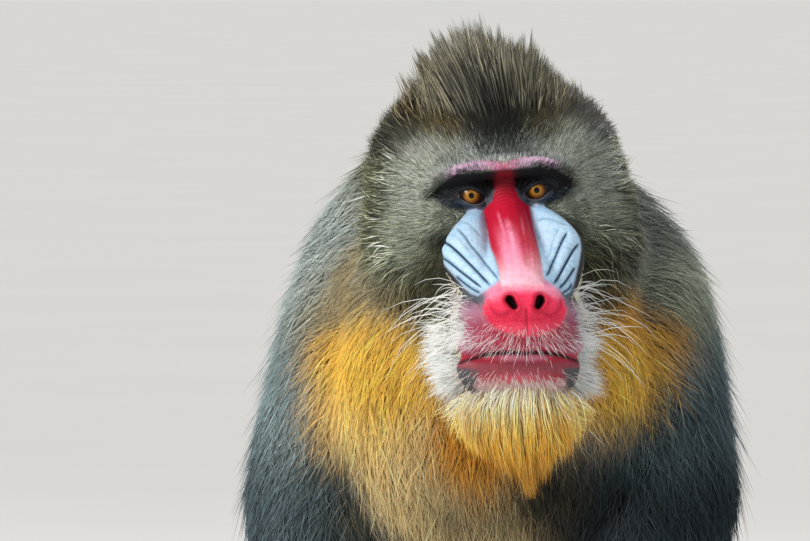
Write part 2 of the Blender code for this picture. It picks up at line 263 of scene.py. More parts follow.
def inside(points, outline):
    """How far each point lies inside a closed outline on the face's front, and below 0 outside it."""
    closed = list(outline) + [outline[0]]
    gap, _ = near_line(points[:, [0, 2]], closed)
    x, _, z = points.T
    within = np.zeros(len(points), bool)
    for (x0, z0), (x1, z1) in zip(closed, closed[1:]):
        crossing = (z0 > z) != (z1 > z)
        within ^= crossing & (x < (x1 - x0) * (z - z0) / (z1 - z0 + 1e-12) + x0)
    return np.where(within, gap, -gap)


def waves(points, size, seed):
    """Soft noise from -1 to 1 over points, of about the given grain."""
    draw = np.random.default_rng(seed)
    total = np.zeros(len(points))
    for _ in range(7):
        way = draw.normal(size=3)
        way *= math.tau / (size * np.linalg.norm(way)) * draw.uniform(0.6, 1.5)
        total += np.sin(points @ way + draw.uniform(0, math.tau))
    return total / 4


# --- The head's shape ---

# Masses under the head's fur: centre, radii, and how deep the fur is over them.
HEAD_MASSES = (
    ((0, 79, 2), (95, 74, 86), (19, 15, 19)),
    ((0, 62, 30), (66, 58, 46), (9, 8, 9)),
    ((0, 96, -34), (84, 70, 74), (18, 18, 18)),
    ((0, 58, -98), (68, 58, 58), (20, 18, 18)),
)
SIDE_MASSES = (
    ((52, 57, -36), (55, 55, 72), (20, 10, 22)),
    ((42, 47, 10), (48, 44, 44), (10, 9, 10)),
    ((42, 25, -18), (24, 30, 22), (2, 2, 2)),
)

BROW = ((-60, 30, -2, 5, 6), (-48, 13, 8, 7, 8), (-27, -1, 16, 7.5, 9), (0, -5, 17, 7.5, 9))
BRIDGE = ((0, 10, 4, 11, 14), (0, -8, -16, 13, 14), (0, -42, -41, 18, 17), (0, -72, -61, 25, 17))
JAWS = ((0, 10, -52, 46, 42), (0, -22, -72, 42, 36), (0, -48, -92, 40, 30), (0, -58, -104, 41, 25))
MANDIBLE = ((0, -45, -122, 38, 20), (0, -5, -110, 38, 26), (0, 30, -100, 50, 35))
NOSE = ((-17, -79, -76, 16, 16), (0, -84, -75, 15, 16), (17, -79, -76, 16, 16))
NOSE_FOOT = ((0, -84, -88), (26, 12, 12))
UPPER_LIP = ((0, -72, -84, 27, 19), (0, -68, -98, 39, 20), (0, -61, -103, 45, 18))
CHIN = ((0, -61, -117, 43.5, 17), (0, -59, -127, 41, 18), (0, -50, -134, 33, 18))
RIDGE = (
    (20, 0, -15, 8, 8), (27, -12, -27, 14, 14), (32, -28, -41, 18, 17), (29, -50, -56, 15, 15),
    (22, -68, -67, 10, 11),
)

EYE_MASS = ((24.5, 12, 0), (20, 17.5, 13.5))

# The melts' grains, from the soft masses under the fur to the bare face, and of the body and its digits.
SOFT_GRAIN, MEDIUM_GRAIN, FACE_GRAIN = 3.2 * MM, 1.5 * MM, 0.75 * MM
BODY_GRAIN, DIGIT_GRAIN = 6 * MM, 1.7 * MM
MUZZLE_TWIST = 0.075  # how much lower the muzzle's left side hangs, for each millimetre sideways
CHIN_SWAY = 5.6  # how far the mouth and chin lie to the animal's right
FACE_DEPTH = 25  # how far back the face's folds reach

# Places across the face's front: (sideways, up), in millimetres.
LID_INNER, LID_OUTER = 9.2, 10.6  # the corners of an eye's opening, from the eyeball's middle
RIDGE_OUTLINE = (
    (21, -9.5), (27, -10.5), (32, -14.2), (37, -18.3), (42, -23.5), (45.3, -28.8), (47.3, -34.4), (46.8, -41),
    (44.1, -47.5), (40.2, -55.7), (37.5, -61.7), (34, -67), (30, -68.5), (25, -64), (20.5, -61), (15, -57),
    (15, -50), (15.6, -43), (16.5, -35), (16.2, -25), (16.4, -16), (16.6, -11.5),
)
FURROWS = {
    "right": (
        (((47.5, -40.3), (46.4, -40), (42, -44), (37.9, -49), (33.4, -54.5), (27.3, -61.8)), 1.0),
        (
            ((44.8, -29.7), (41.4, -31.9), (37.3, -36), (33.5, -40.7), (30.3, -45.8), (26.8, -52.2),
             (22.3, -59.8)), 1.0,
        ),
        (
            ((36.2, -21.3), (32.2, -25.9), (28.8, -32.7), (25.9, -37.4), (22.5, -44.7), (19.7, -50.2),
             (16.5, -55.8)), 0.6,
        ),
        (((39.8, -54.3), (36.4, -59), (32.5, -63.2), (28.6, -66)), 0.9),
        (((36, -17.2), (29.5, -17.8), (25.6, -22.1), (21.8, -27.8)), 0.22),
        (((41, -25), (36, -27), (32, -33), (28, -40)), 0.2),
    ),
    "left": (
        (((45.2, -37.7), (40.3, -41), (35.9, -45.5), (31.5, -50.5), (27.1, -55.7), (22.6, -60.3)), 1.0),
        (((37.6, -30), (33.9, -34), (30, -39.3), (25.9, -45.3), (21.9, -50.4), (17.4, -55)), 0.9),
        (((39.4, -51.6), (35.1, -55.8), (31.1, -59.8), (26.2, -63.4)), 0.9),
        (((36.1, -61.5), (33.3, -64.7), (28.6, -66.8)), 0.9),
        (((19.1, -20.4), (23.7, -19.3), (28.9, -20.1), (33.2, -22.1), (38.9, -24.9)), 0.3),
        (((33, -26), (29, -31), (26, -36), (23, -43)), 0.25),
    ),
}
EYE_CREASES = (
    (((16, -9), (22, -10), (29, -8.6), (35, -4.6), (40, 0.5)), 0.8, 0.7),
    (((31, -11.5), (38, -9), (44, -3)), 0.8, 0.5),
    (((14.5, 3), (17.4, 5.9), (21, 7.3), (25, 7.2), (29.5, 5.6), (34, 2.5)), 0.6, 0.9),
    (((36, 3), (42, 5), (48, 4)), 0.9, 0.5),
    (((36, 0), (42, 0.5), (47, -1)), 0.8, 0.4),
)
NOSE_PAD = (
    (0, -61.5), (11, -62.2), (20, -66), (26, -70), (28.6, -76), (28, -82), (24.5, -87.5), (20, -90.5),
    (11, -95), (0, -96.5),
)
NOSTRIL = ((10.4, -70.4), (9.8, -71.6), (8.9, -73.2), (8.2, -74.3))
WING_CREASE = ((11, -78.5), (15.5, -81), (20.5, -79.5), (24.5, -74), (25, -69.5))
PHILTRUM = ((0, -75), (0, -84), (0, -92))
MOUTH = (
    (-45, -117), (-36, -113), (-22, -109), (-9, -107.6), (0, -108), (9, -107.6), (22, -109), (36, -113),
    (45, -117),
)


def widened(line):
    """Places on the animal's right ridge, which swells further to the side than its left one."""
    return [(x * (1 + 0.09 * bump(z + 44, 20) * ease(20, 34, x)), z) for x, z in line]


def ridge_outline(side):
    return [(side * x, z) for x, z in (RIDGE_OUTLINE if side > 0 else widened(RIDGE_OUTLINE))]


def furrows_of(word):
    return [(line if word == "left" else widened(line), strength) for line, strength in FURROWS[word]]


def mirrored(sections):
    """The sections of a bar that crosses the face, from one side's and the middle one."""
    return list(sections) + [(-x, *rest) for x, *rest in sections[-2::-1]]


def both_sides(outline):
    """A closed outline across the face, from its left half drawn from top to bottom."""
    return list(outline) + [(-x, z) for x, z in widened(outline)[::-1] if x > 0]


def head_skin():
    """The bare head: skull masses under the fur, and the muzzle, brow and sockets at their full size."""
    masses = Clay(HEAD_MM)
    for centre, radii, depth in HEAD_MASSES:
        masses.ball(centre, np.subtract(radii, depth))
    for (x, y, z), radii, depth in SIDE_MASSES:
        for _, side in SIDES:
            masses.ball((side * x, y, z), np.subtract(radii, depth))
    soft = masses.melted("masses", SOFT_GRAIN, 14)
    face = Clay(HEAD_MM)
    for sections in (BRIDGE, JAWS, UPPER_LIP, CHIN, MANDIBLE):
        face.tube(sections)
    for sections in (mirrored(BROW), NOSE):
        face.tube(sections, across=(0, 0, 1))
    face.ball(*NOSE_FOOT)
    (eye_x, *eye_yz), eye_radii = EYE_MASS
    for _, side in SIDES:
        face.ball((side * eye_x, *eye_yz), eye_radii)
        face.tube([(side * x, *rest) for x, *rest in RIDGE])
    medium = face.melted("medium", MEDIUM_GRAIN, 9, under=[soft])
    fine = Clay(Matrix()).melted("fine", FACE_GRAIN, 5, under=[medium])
    opened(fine)
    return Clay(Matrix()).melted("head_skin", FACE_GRAIN, 3, under=[fine])


def opened(head):
    """Opens the eyes and nostrils in the head's mesh, which is melted once more after it."""
    points = with_lids(head_points(head))
    front = ease(-80, -88, points[:, 1])
    for _, side in SIDES:
        gap, along = along_front(points, NOSTRIL, side)
        room = mix(4.1, 3.1, along)
        pit = (1 - ease(0.2, 1.1, gap / room)) * front
        rim = bump(gap - room - 1.6, 1.4) * front
        points[:, 1] += 7 * pit - 0.7 * rim
        points[:, 2] += 1.5 * pit
    move_points(head.data, moved(HEAD_MM, points))


def lid_gap(points, side):
    """How far each point lies outside an eye's opening, seen from the front, and its height there."""
    out = side * points[:, 0] - EYE_X
    up = points[:, 2]
    share = np.clip((out + LID_INNER) / (LID_INNER + LID_OUTER), 0, 1)
    slant = mix(-3.3, 1.8, share)
    arch = np.sin(np.pi * share) ** 0.8
    beyond = np.maximum(np.maximum(-LID_INNER - out, out - LID_OUTER), 0)
    gap = np.maximum(up - (slant + 4.3 * arch), (slant - 5.0 * arch) - up)
    gap = np.where(beyond > 0, np.hypot(beyond, np.maximum(gap, 0)), gap)
    return gap, up


def with_lids(points):
    """The skin over the eyeballs drawn out as lids, and sunk behind them inside the openings."""
    for _, side in SIDES:
        gap, up = lid_gap(points, side)
        centre = np.array((side * EYE_X, EYE_Y, 0))
        from_eye = points - centre
        reach = np.linalg.norm(from_eye, axis=1)
        radius = mix(EYE_RADIUS - 1.8, EYE_RADIUS + 1.3, ease(-0.5, 0.45, gap))
        radius += 0.3 * bump(gap - 1.1, 0.8)
        far = np.where(up > 0, 6.5, 5.0)
        hold = 1 - ease(far - 3.5, far, gap)
        hold *= ease(19, 15, reach) * ease(6, 1, from_eye[:, 1])
        target = centre + from_eye / reach[:, None] * radius[:, None]
        points = mix(points, target, hold[:, None])
    return points


def along_front(points, line, side=1):
    """How far each point is from a line across the face's front, and how far along it, 0 to 1."""
    return near_line(points[:, [0, 2]], soft_curve([(side * x, z) for x, z in line]))


def furrow(points, line, width, side=1):
    """1 in a furrow along a line, falling to 0 beside it and thinner at both ends."""
    gap, along = along_front(points, line, side)
    ends = ease(-0.05, 0.12, along) * ease(1.05, 0.9, along)
    return bump(gap, width * (0.5 + 0.5 * ends)) * (0.4 + 0.6 * ends)


def on_muzzle(points):
    """1 on the muzzle's front, 0 on the cheeks behind it."""
    return ease(0, -6, points[:, 1] + 0.75 * (-points[:, 2] - 15))


def twisted(points, way=1):
    """The muzzle's small twist and sway, or with way -1 the face as it would be without them."""
    turned = points.copy()
    share = ease(-30, -75, points[:, 2])
    turned[:, 2] -= way * MUZZLE_TWIST * points[:, 0] * share
    turned[:, 0] -= way * CHIN_SWAY * ease(-88, -124, points[:, 2])
    return turned


def head_points(obj):
    """A mesh's points in the head's own millimetres."""
    return moved(HEAD_MM.inverted(), points_of(obj.data))


def on_head(points):
    """Points of the world as they would lie in the head's millimetres without the muzzle's twist."""
    return twisted(moved(HEAD_MM.inverted(), points), -1)


def to_world(points):
    return moved(HEAD_MM, twisted(points))


def fold_depth(points):
    """How deep the face is furrowed: the swollen ridges, the lids' creases, the nose and the lips."""
    deep = np.zeros(len(points))
    muzzle = on_muzzle(points)
    x, y, z = points.T
    for word, side in SIDES:
        for line, strength in furrows_of(word):
            both = 0.9 * furrow(points, line, 2.8, side) + 1.3 * furrow(points, line, 0.9, side)
            deep += muzzle * strength * both
        for line, width, depth in EYE_CREASES:
            deep += depth * furrow(points, line, width, side) * ease(10, 4, y)
        deep += 0.9 * furrow(points, WING_CREASE, 2.4, side) * muzzle
        edge = inside(points, ridge_outline(side))
        deep += muzzle * (0.9 * bump(edge + 0.4, 1.6) - 0.7 * ease(0.5, 6, edge))
    deep += 1.0 * furrow(points, PHILTRUM, 1.3) * muzzle
    deep += (3.6 * furrow(points, MOUTH, 1.5) + 0.9 * furrow(points, MOUTH, 4)) * muzzle
    rim = inside(points, both_sides(NOSE_PAD))
    deep += muzzle * (0.9 * bump(rim + 1.5, 1.7) * ease(-72, -84, z) - 0.4 * ease(-3, 6, rim))
    between_eyes = bump(x, 6.5) * ease(-10, -5, z) * ease(13, 8, z) * ease(5, -5, y)
    deep += 0.3 * between_eyes * np.sin((z + 0.04 * x**2) * math.tau / 2.3)
    down_bridge = bump(x, 12) * ease(-4, -16, z) * ease(-58, -44, z) * muzzle
    deep += 0.14 * down_bridge * np.sin(x * 1.1 + 0.9 * np.sin(z * 0.11))
    lips = ease(34, 22, np.abs(x)) * (bump(z + 103, 3.5) + bump(z + 114, 3.5)) * muzzle
    deep += 0.16 * lips * np.sin(x * 1.9 + 0.8 * np.sin(z * 0.5))
    return deep


def sculpted(head):
    """The head with its furrows and folds, and the muzzle's twist."""
    points = head_points(head)
    facing = normals_of(head.data) @ np.array(HEAD.to_3x3())
    ahead = points[:, 1] < FACE_DEPTH
    points[ahead] -= facing[ahead] * fold_depth(points[ahead])[:, None]
    move_points(head.data, to_world(points))
    return head


# --- The body's shape ---

# Sections of the body in millimetres: (x, y, z, half width, half height), then how deep the coat is over it.
TRUNK = (
    (0, 150, 68, 106, 84, 8), (0, 142, 125, 124, 108, 13), (0, 122, 200, 128, 120, 16),
    (0, 96, 285, 130, 122, 18), (0, 70, 365, 143, 128, 22), (0, 50, 435, 159, 128, 26),
    (0, 40, 490, 159, 114, 29), (0, 26, 532, 142, 97, 30), (4, 4, 562, 117, 77, 30),
)
RUMP = ((0, 150, 52, 94, 62, 3), (0, 188, 72, 80, 62, 4))
CHEST = ((0, -10, 330, 95, 50, 14), (6, -40, 410, 116, 70, 20), (16, -55, 480, 110, 75, 22))
THROAT = ((0, 10, 495, 125, 85, 24), (12, -35, 520, 112, 88, 24), (22, -75, 530, 95, 85, 24))
UPPER_ARM = (
    (94, 30, 470, 71, 76, 24), (111, 20, 415, 63, 71, 18), (127, 2, 345, 57, 62, 15),
    (122, -20, 290, 50, 55, 13), (109, -38, 243, 45, 49, 11),
)
FOREARM = (
    (109, -36, 246, 44, 48, 11), (104, -66, 186, 44, 46, 11), (98, -102, 122, 38, 40, 9),
    (92, -133, 68, 28, 28, 5), (90, -150, 40, 23, 20, 2),
)
THIGH = (
    (66, 128, 108, 86, 90, 12), (115, 80, 138, 79, 83, 13), (170, 20, 170, 65, 68, 12),
    (212, -30, 193, 53, 56, 10), (227, -52, 196, 45, 48, 9),
)
SHANK = (
    (227, -50, 194, 45, 48, 9), (224, -68, 150, 45, 50, 9), (214, -92, 102, 38, 44, 8),
    (203, -110, 58, 28, 31, 5), (199, -117, 34, 23, 24, 2),
)
TAIL = (
    (0, 228, 116, 24, 22, 5), (0, 258, 134, 19, 18, 4), (0, 280, 164, 15, 15, 4), (0, 288, 196, 10, 10, 3),
)
PALM = ((92, -148, 34, 22, 17), (91, -172, 17, 30, 15), (90, -196, 11.5, 35, 12), (90, -208, 10, 34, 10.5))
THUMB = ((72, -166, 18, 9, 10), (56, -186, 10.5, 7.8, 8.5), (47, -206, 6.5, 6.6, 7))
SOLE = (
    (197, -92, 18, 21, 19), (199, -125, 24, 24, 22), (202, -165, 18, 29, 18), (206, -205, 12.5, 34, 13),
    (207, -222, 10.5, 33, 11.2),
)
GREAT_TOE = ((184, -148, 18, 12, 12), (168, -176, 10, 10, 10.2), (158, -202, 7.8, 8.4, 8.4))
# Fingers and toes in metres: how far each lies from the middle of the row, and its length.
FINGERS = ((-0.0285, 0.056), (-0.0095, 0.068), (0.0095, 0.070), (0.0285, 0.060))
TOES = ((-0.0270, 0.050), (-0.0090, 0.058), (0.0090, 0.056), (0.0265, 0.047))
KNUCKLE = 0.004  # how far before a row's Y its digits start
# Where a row lies: its middle at the knuckles and at the tips, its spread, and its Y.
HAND_ROW = (0.090, 0.090, 1.30, -0.202)
FOOT_ROW = (0.207, 0.210, 1.22, -0.218)
DIGITS = [(row, *finger) for row, fingers in ((HAND_ROW, FINGERS), (FOOT_ROW, TOES)) for finger in fingers]


def bare(sections, side=1):
    """Sections in metres on one side, without the coat of those that have one."""
    return [
        (side * x * MM, y * MM, z * MM, (width - sum(coat)) * MM, (height - sum(coat)) * MM)
        for x, y, z, width, height, *coat in sections
    ]


def digit(row, offset, length, side):
    """A finger's or toe's sections, arched over its knuckle to a tip on the floor."""
    middle, tip_middle, spread, start = row
    x = middle + offset
    tip = tip_middle + offset * spread
    return [
        (side * x, start, 0.0110, 0.0080, 0.0096),
        (side * (x + tip) / 2, start - KNUCKLE - length * 0.42, 0.0160, 0.0070, 0.0076),
        (side * (tip * 0.7 + x * 0.3), start - KNUCKLE - length * 0.74, 0.0088, 0.0070, 0.0076),
        (side * tip, start - KNUCKLE - length * 0.955, 0.0062, 0.0062, 0.0066),
    ]


def body_skin():
    """Trunk, limbs and tail without their coat."""
    masses = Clay(DRAWN)
    for sections in (TRUNK, RUMP, CHEST, THROAT, TAIL):
        masses.tube(bare(sections))
    for _, side in SIDES:
        for sections in (UPPER_ARM, FOREARM, THIGH, SHANK):
            masses.tube(bare(sections, side))
    return masses.melted("body_skin", BODY_GRAIN, 4)


# Creases over the joints: where along a digit, and how deep.
KNUCKLE_FOLDS = ((0.36, 1.0), (0.40, 0.8), (0.45, 1.0), (0.49, 0.7), (0.72, 0.8), (0.76, 1.0), (0.80, 0.7))


def knuckle_folds(points):
    """How deep the skin is creased over the joints of fingers and toes."""
    deep = np.zeros(len(points))
    for (middle, tip_middle, spread, start), offset, length in DIGITS:
        along = (start - KNUCKLE - points[:, 1]) / length
        centre = mix(middle + offset, tip_middle + offset * spread, np.clip(along, 0, 1))
        beside = np.abs(np.abs(points[:, 0]) - centre)
        near = ease(0.010, 0.007, beside) * ease(0.004, 0.009, points[:, 2])
        for place, share in KNUCKLE_FOLDS:
            deep += near * share * bump((along - place) * length, 0.0011)
    return 0.9 * MM * deep


def extremities_skin():
    """The hands and feet, which are nearly bare."""
    clay = Clay(DRAWN)
    for _, side in SIDES:
        for sections in (PALM, THUMB, SOLE, GREAT_TOE):
            clay.tube(bare(sections, side))
        for row in DIGITS:
            clay.tube(digit(*row, side))
    skin = clay.melted("extremities", DIGIT_GRAIN, 2)
    points, facing = points_of(skin.data), normals_of(skin.data)
    points -= facing * knuckle_folds(points)[:, None]
    move_points(skin.data, points)
    return skin


HIDDEN_KEPT = 0.33  # how much of the head's mesh is kept when it is thinned where the fur hides it


def thinned_behind(head):
    """The head with fewer points where the fur hides it."""
    points = head_points(head)
    x, y, z = points.T
    hidden = ease(8, 20, y) + ease(48, 60, np.abs(x)) + ease(24, 34, z)
    hidden += ease(-136, -146, z) + ease(-10, 0, y) * ease(-60, -66, z)
    group = head.vertex_groups.new(name="hidden")
    for share in range(1, 5):
        chosen = np.nonzero(np.minimum((hidden * 4).astype(int), 4) == share)[0]
        group.add(chosen.tolist(), share / 4, "REPLACE")
    applied(head, "DECIMATE", ratio=HIDDEN_KEPT, vertex_group="hidden", vertex_group_factor=1.0)
    head.vertex_groups.clear()
    return head


def joined_skin(head, body, extremities):
    """One closed skin from the three."""
    for part in (extremities, head):
        body = applied(body, "BOOLEAN", operation="UNION", object=part, solver="MANIFOLD")
        bpy.data.objects.remove(part)
    points = points_of(body.data)
    points[:, 2] = np.maximum(points[:, 2], 0)
    move_points(body.data, points)
    body.name = "skin"
    return body


skin = joined_skin(thinned_behind(sculpted(head_skin())), body_skin(), extremities_skin())


# --- Colours ---

# Linear red, green and blue.
BLACK = (0.006, 0.006, 0.007)
INK_AND_FURROW_SHADE = (0.010, 0.028, 0.060)
SLATE = (0.050, 0.070, 0.115)
DARK_RED = (0.14, 0.006, 0.012)
CRIMSON = (0.47, 0.005, 0.028)
SCARLET = (0.84, 0.032, 0.095)
WARM_RED = (0.84, 0.14, 0.21)
SOFT_RED = (0.88, 0.18, 0.26)
LIP_RED = (0.45, 0.020, 0.055)
LOW_LIP_RED = (0.33, 0.018, 0.040)
WINE = (0.28, 0.038, 0.072)
DULL_WINE = (0.24, 0.06, 0.075)
BROW_RED = (0.52, 0.11, 0.21)
CHIN_RED = (0.54, 0.10, 0.14)
WING_CREASE_SHADE = (0.40, 0.008, 0.03)
NOSTRIL_SHADE_RED = (0.10, 0.004, 0.010)
NOSTRIL_SHADE_BLACK = (0.008, 0.001, 0.002)
MOUTH_SHADE = (0.012, 0.003, 0.004)
PINK = (0.90, 0.30, 0.46)
PALE_PINK = (0.96, 0.60, 0.68)
BAND_PINK = (0.60, 0.35, 0.53)
BAND_BRIGHT = (0.84, 0.52, 0.76)
BAND_PALE = (0.55, 0.42, 0.48)
BAND_DULL = (0.22, 0.18, 0.21)
LILAC = (0.36, 0.17, 0.24)
RIDGE_FOOT_SHADE = (0.075, 0.095, 0.120)
MUZZLE_SHADE = (0.020, 0.022, 0.020)
MAUVE = (0.36, 0.17, 0.23)
CHIN_PINK = (0.46, 0.30, 0.29)
CHIN_GREY = (0.075, 0.075, 0.080)
SKY = (0.40, 0.62, 0.80)
PALE_SKY = (0.58, 0.76, 0.90)
DEEP_SKY = (0.23, 0.44, 0.68)
FOLD_BLUE_AND_SHADE = (0.16, 0.30, 0.46)
LID_RIM = (0.17, 0.16, 0.18)
LID_CREASE_SHADE = (0.075, 0.085, 0.105)
PALM_SKIN = (0.045, 0.036, 0.036)
WORN_PALM = (0.10, 0.078, 0.072)
SEAT_BLUE = (0.15, 0.17, 0.36)
SEAT_LILAC = (0.36, 0.15, 0.29)
SEAT_RED = (0.42, 0.05, 0.09)
SEAT_PAD = (0.40, 0.24, 0.24)

# Streaks down the bridge, partly its own pink and partly painted highlights: middle, half width, where each
# starts and ends, colour and strength.
BRIDGE_STREAKS_AND_HIGHLIGHTS = (
    (-3.4, 2.2, 14, 62, PINK, 0.8), (-2.8, 1.3, 22, 62, PALE_PINK, 0.5), (9.0, 1.8, 30, 60, PINK, 0.35),
    (-8.6, 0.9, 10, 24, PINK, 0.75), (8.6, 0.9, 13, 24, PINK, 0.45), (13.5, 1.0, 30, 60, PINK, 0.4),
)
# The bridge's half width, down the face.
BRIDGE_WIDTH = (
    (-16, 4.5), (-14, 5.5), (-2, 7.4), (5, 10), (11, 16.2), (25, 16.2), (35, 16.5), (43, 15.6), (57, 15),
    (64, 14),
)
# The outline of the dark skin round an eye, the middle line of the pink band over both eyes, and the muzzle's
# outline: (sideways, up).
SOCKET = (
    (7.5, -3), (6, 6), (7.5, 13), (16, 17), (28, 17.5), (38, 14.5), (45, 10), (50, 5), (48, -1), (44, -5),
    (39, -9), (33, -11), (27, -9.5), (20, -9), (14, -10.5), (10, -8),
)
BAND = (
    (-46, 11.5), (-38, 16.5), (-27, 20.8), (-13, 21.2), (0, 18.6), (13, 21.2), (27, 20.8), (38, 16.5),
    (46, 11.5),
)
MUZZLE_OUTLINE = (
    (0, 4), (9, 2), (14, -8), (21, -8.5), (28, -9.5), (36, -14), (43, -22), (47, -31), (47.6, -37), (46, -44),
    (43, -51), (40, -58), (38.5, -64), (40, -72), (44, -82), (48.5, -96), (49, -115), (47.5, -126),
    (42, -134), (26, -138), (0, -139),
)
# How far back the bare skin reaches beside the muzzle: down, and the place forward or back.
MUZZLE_BACK = ((12, 0), (30, -12), (45, -21), (60, -25), (70, -18), (84, -13), (140, -44))


def lay(colours, *coats):
    """Colours laid over others in turn, each by a share for each point."""
    for colour, share in coats:
        colours = mix(np.asarray(colours), np.asarray(colour), np.clip(share, 0, 1)[:, None])
    return colours


def blotches(points, size, seed):
    """Soft blotches from 0 to 1 over points."""
    return np.clip(waves(points, size, seed), 0, 1)


def across_front(points, outline, soft=0.8, side=1):
    """1 inside an outline across the face's front, and 0 outside it."""
    edge = inside(points, [(side * x, z) for x, z in outline])
    return ease(-soft, soft, edge)


def bare_muzzle(points, soft=1.5):
    """1 on the bare muzzle, lips and chin."""
    front = ease(2, -4, points[:, 1] - np.interp(-points[:, 2], *zip(*MUZZLE_BACK)))
    return across_front(points, both_sides(MUZZLE_OUTLINE), soft) * front


def socket_share(points, soft=1.6):
    """1 on the dark skin round the eyes."""
    around = sum(across_front(points, SOCKET, soft, side) for _, side in SIDES)
    return np.minimum(around, 1) * ease(24, 18, points[:, 1])


def beside_muzzle(points):
    """1 where the coat meets the muzzle, in its shade."""
    edge = inside(points, both_sides(MUZZLE_OUTLINE))
    return ease(-9, -1.5, edge) * ease(14, 2, points[:, 1]) * ease(-16, -26, points[:, 2])


def painted_bridge(colours, points, share):
    """Scarlet down the middle of the face, nearly black between the brows and pink towards the nose, its pink
    streaks and spread partly painted highlights.
    """
    x, _, z = points.T
    down, wide = -z, np.abs(x)
    half = np.interp(down, *zip(*BRIDGE_WIDTH))
    within = share * ease(0.9, -0.9, wide - half + 0.5 * waves(points, 5, 11)) * ease(-17, -14, down)
    rough = 0.62 + 0.4 * waves(points * (1, 1, 0.3), 6.0, 18)
    shade = lay(CRIMSON, (DARK_RED, 0.95 * ease(8, -8, down)))
    for middle, width, start, end, colour, strength in BRIDGE_STREAKS_AND_HIGHLIGHTS:
        run = ease(start, start + 8, down) * ease(end + 8, end, down)
        shade = lay(shade, (colour, strength * run * rough * bump(x - middle * (1 - 0.008 * down), width)))
    # Pink spreading down from a little to the animal's right, towards the key light, partly a painted
    # highlight.
    broad = ease(44, 60, down)
    pink = ease(10 + 6 * broad, 3 + 8 * broad, np.abs(x + 4.5 * (1 - broad)))
    low_pink = 0.75 * ease(36, 62, down + 0.12 * wide)
    shade = lay(shade, (PINK, 0.85 * ease(16, 40, down) * pink), (PALE_PINK, low_pink))
    return lay(colours, (shade, within))


def painted_ridges(colours, points, share):
    """Pale blue on the swollen ridges, with dark blue in their furrows, partly their own colour and partly
    painted shade.
    """
    z = points[:, 2]
    for word, side in SIDES:
        edge = inside(points, ridge_outline(side))
        shade = lay(
            SKY,
            (DEEP_SKY, 0.35 * ease(-22, -8, z)),
            (PALE_SKY, 0.45 * ease(1, 7, edge) * ease(-12, -26, z)),
            (LILAC, 0.3 * bump(edge - 0.2, 1.2)),
            (DEEP_SKY, 0.35 * blotches(points, 7, 12)),
            (FOLD_BLUE_AND_SHADE, 0.30 * blotches(points, 2.2, 19)),
            (PALE_PINK, 0.18 * blotches(points, 3.1, 20)),
        )
        # Painted shade in the furrows, over their own darker blue.
        for line, strength in furrows_of(word):
            shade = lay(
                shade,
                (FOLD_BLUE_AND_SHADE, 0.6 * strength * furrow(points, line, 1.7, side)),
                (INK_AND_FURROW_SHADE, 1.7 * strength**1.5 * furrow(points, line, 0.63, side)),
            )
        colours = lay(colours, (shade, share * ease(-0.9, 0.9, edge)))
    return colours


def painted_nose(colours, points, share):
    """The scarlet nose pad, with its pale upper rim, partly a painted highlight, and dark nostrils, with
    painted shade in and round them and in the nose's creases.
    """
    _, y, z = points.T
    edge = inside(points, both_sides(NOSE_PAD))
    soft = mix(1.6, 4.0, ease(-70, -64, z))
    within = share * ease(-soft, 0.8 * soft, edge + 0.8 * waves(points, 3.5, 13))
    shade = lay(
        SCARLET,
        (CRIMSON, 0.5 * ease(-74, -84, z)),
        (WARM_RED, 0.4 * ease(-84, -92, z)),
        # Painted highlight along the pad's upper rim.
        (PINK, 0.55 * bump(edge - 1.0, 2.6) * ease(-76, -66, z)),
        (SOFT_RED, 0.3 * blotches(points, 2.0, 14)),
    )
    colours = lay(colours, (shade, within))
    front = ease(-74, -82, y)
    for _, side in SIDES:
        gap, along = along_front(points, NOSTRIL, side)
        room = mix(3.7, 2.7, along)
        # Painted shade in and round each nostril's pit, and in the crease round its wing.
        colours = lay(
            colours,
            (CRIMSON, 0.75 * bump(gap - room - 0.8, 2.2) * front),
            (NOSTRIL_SHADE_RED, ease(1.1, 0.8, gap / room) * front),
            (NOSTRIL_SHADE_BLACK, ease(0.9, 0.5, gap / room) * front),
            (WING_CREASE_SHADE, 0.6 * furrow(points, WING_CREASE, 1.8, side) * share),
        )
    # Painted shade in the philtrum's groove.
    return lay(colours, (CRIMSON, 0.6 * furrow(points, PHILTRUM, 1.0) * share))


def painted_mouth(colours, points, share):
    """Dark blue-grey at the ridges' feet as painted shade, then lilac muzzle sides, mottled red lips and a
    pink chin, dark at its corners.
    """
    x, _, z = points.T
    wide = np.abs(x)
    mottle = waves(points, 4, 15)
    under = ease(-108, -110.5, z)
    coats = (
        # Painted shade: dark blue-grey beside the ridges, where nothing else is laid over it.
        (RIDGE_FOOT_SHADE, 1),
        (LILAC, ease(-70, -80, z + 2 * mottle)),
        (PINK, 0.8 * ease(30, 22, wide) * ease(-50, -58, z)),
        (WINE, ease(-78, -92, z) * ease(52, 30, wide + 5 * mottle)),
        (LIP_RED, 0.7 * ease(-84, -90, z) * ease(34, 12, wide + 4 * mottle)),
        (MAUVE, 0.4 * ease(-92, -104, z) * np.clip(mottle + 0.3, 0, 1)),
        (LOW_LIP_RED, under),
        (MAUVE, 0.45 * under * ease(22, 8, wide) * ease(-115, -112, z)),
        (DULL_WINE, 0.8 * ease(-113, -117, z) * ease(-127, -121, z)),
        (CHIN_RED, 0.8 * bump(z + 126, 4) * bump(wide, 16)),
        (CHIN_PINK, ease(-124, -131, z + 3 * mottle) * ease(40, 28, wide)),
        (CHIN_GREY, ease(27, 34, wide + 3 * mottle) * ease(-117, -121, z)),
        (PINK, 0.3 * bump(wide - 9, 8) * bump(z + 111.5, 2.2)),
        # Painted shade along the mouth's line between the lips.
        (MOUTH_SHADE, furrow(points, MOUTH, 1.25)),
    )
    return lay(colours, *((colour, share * part) for colour, part in coats))


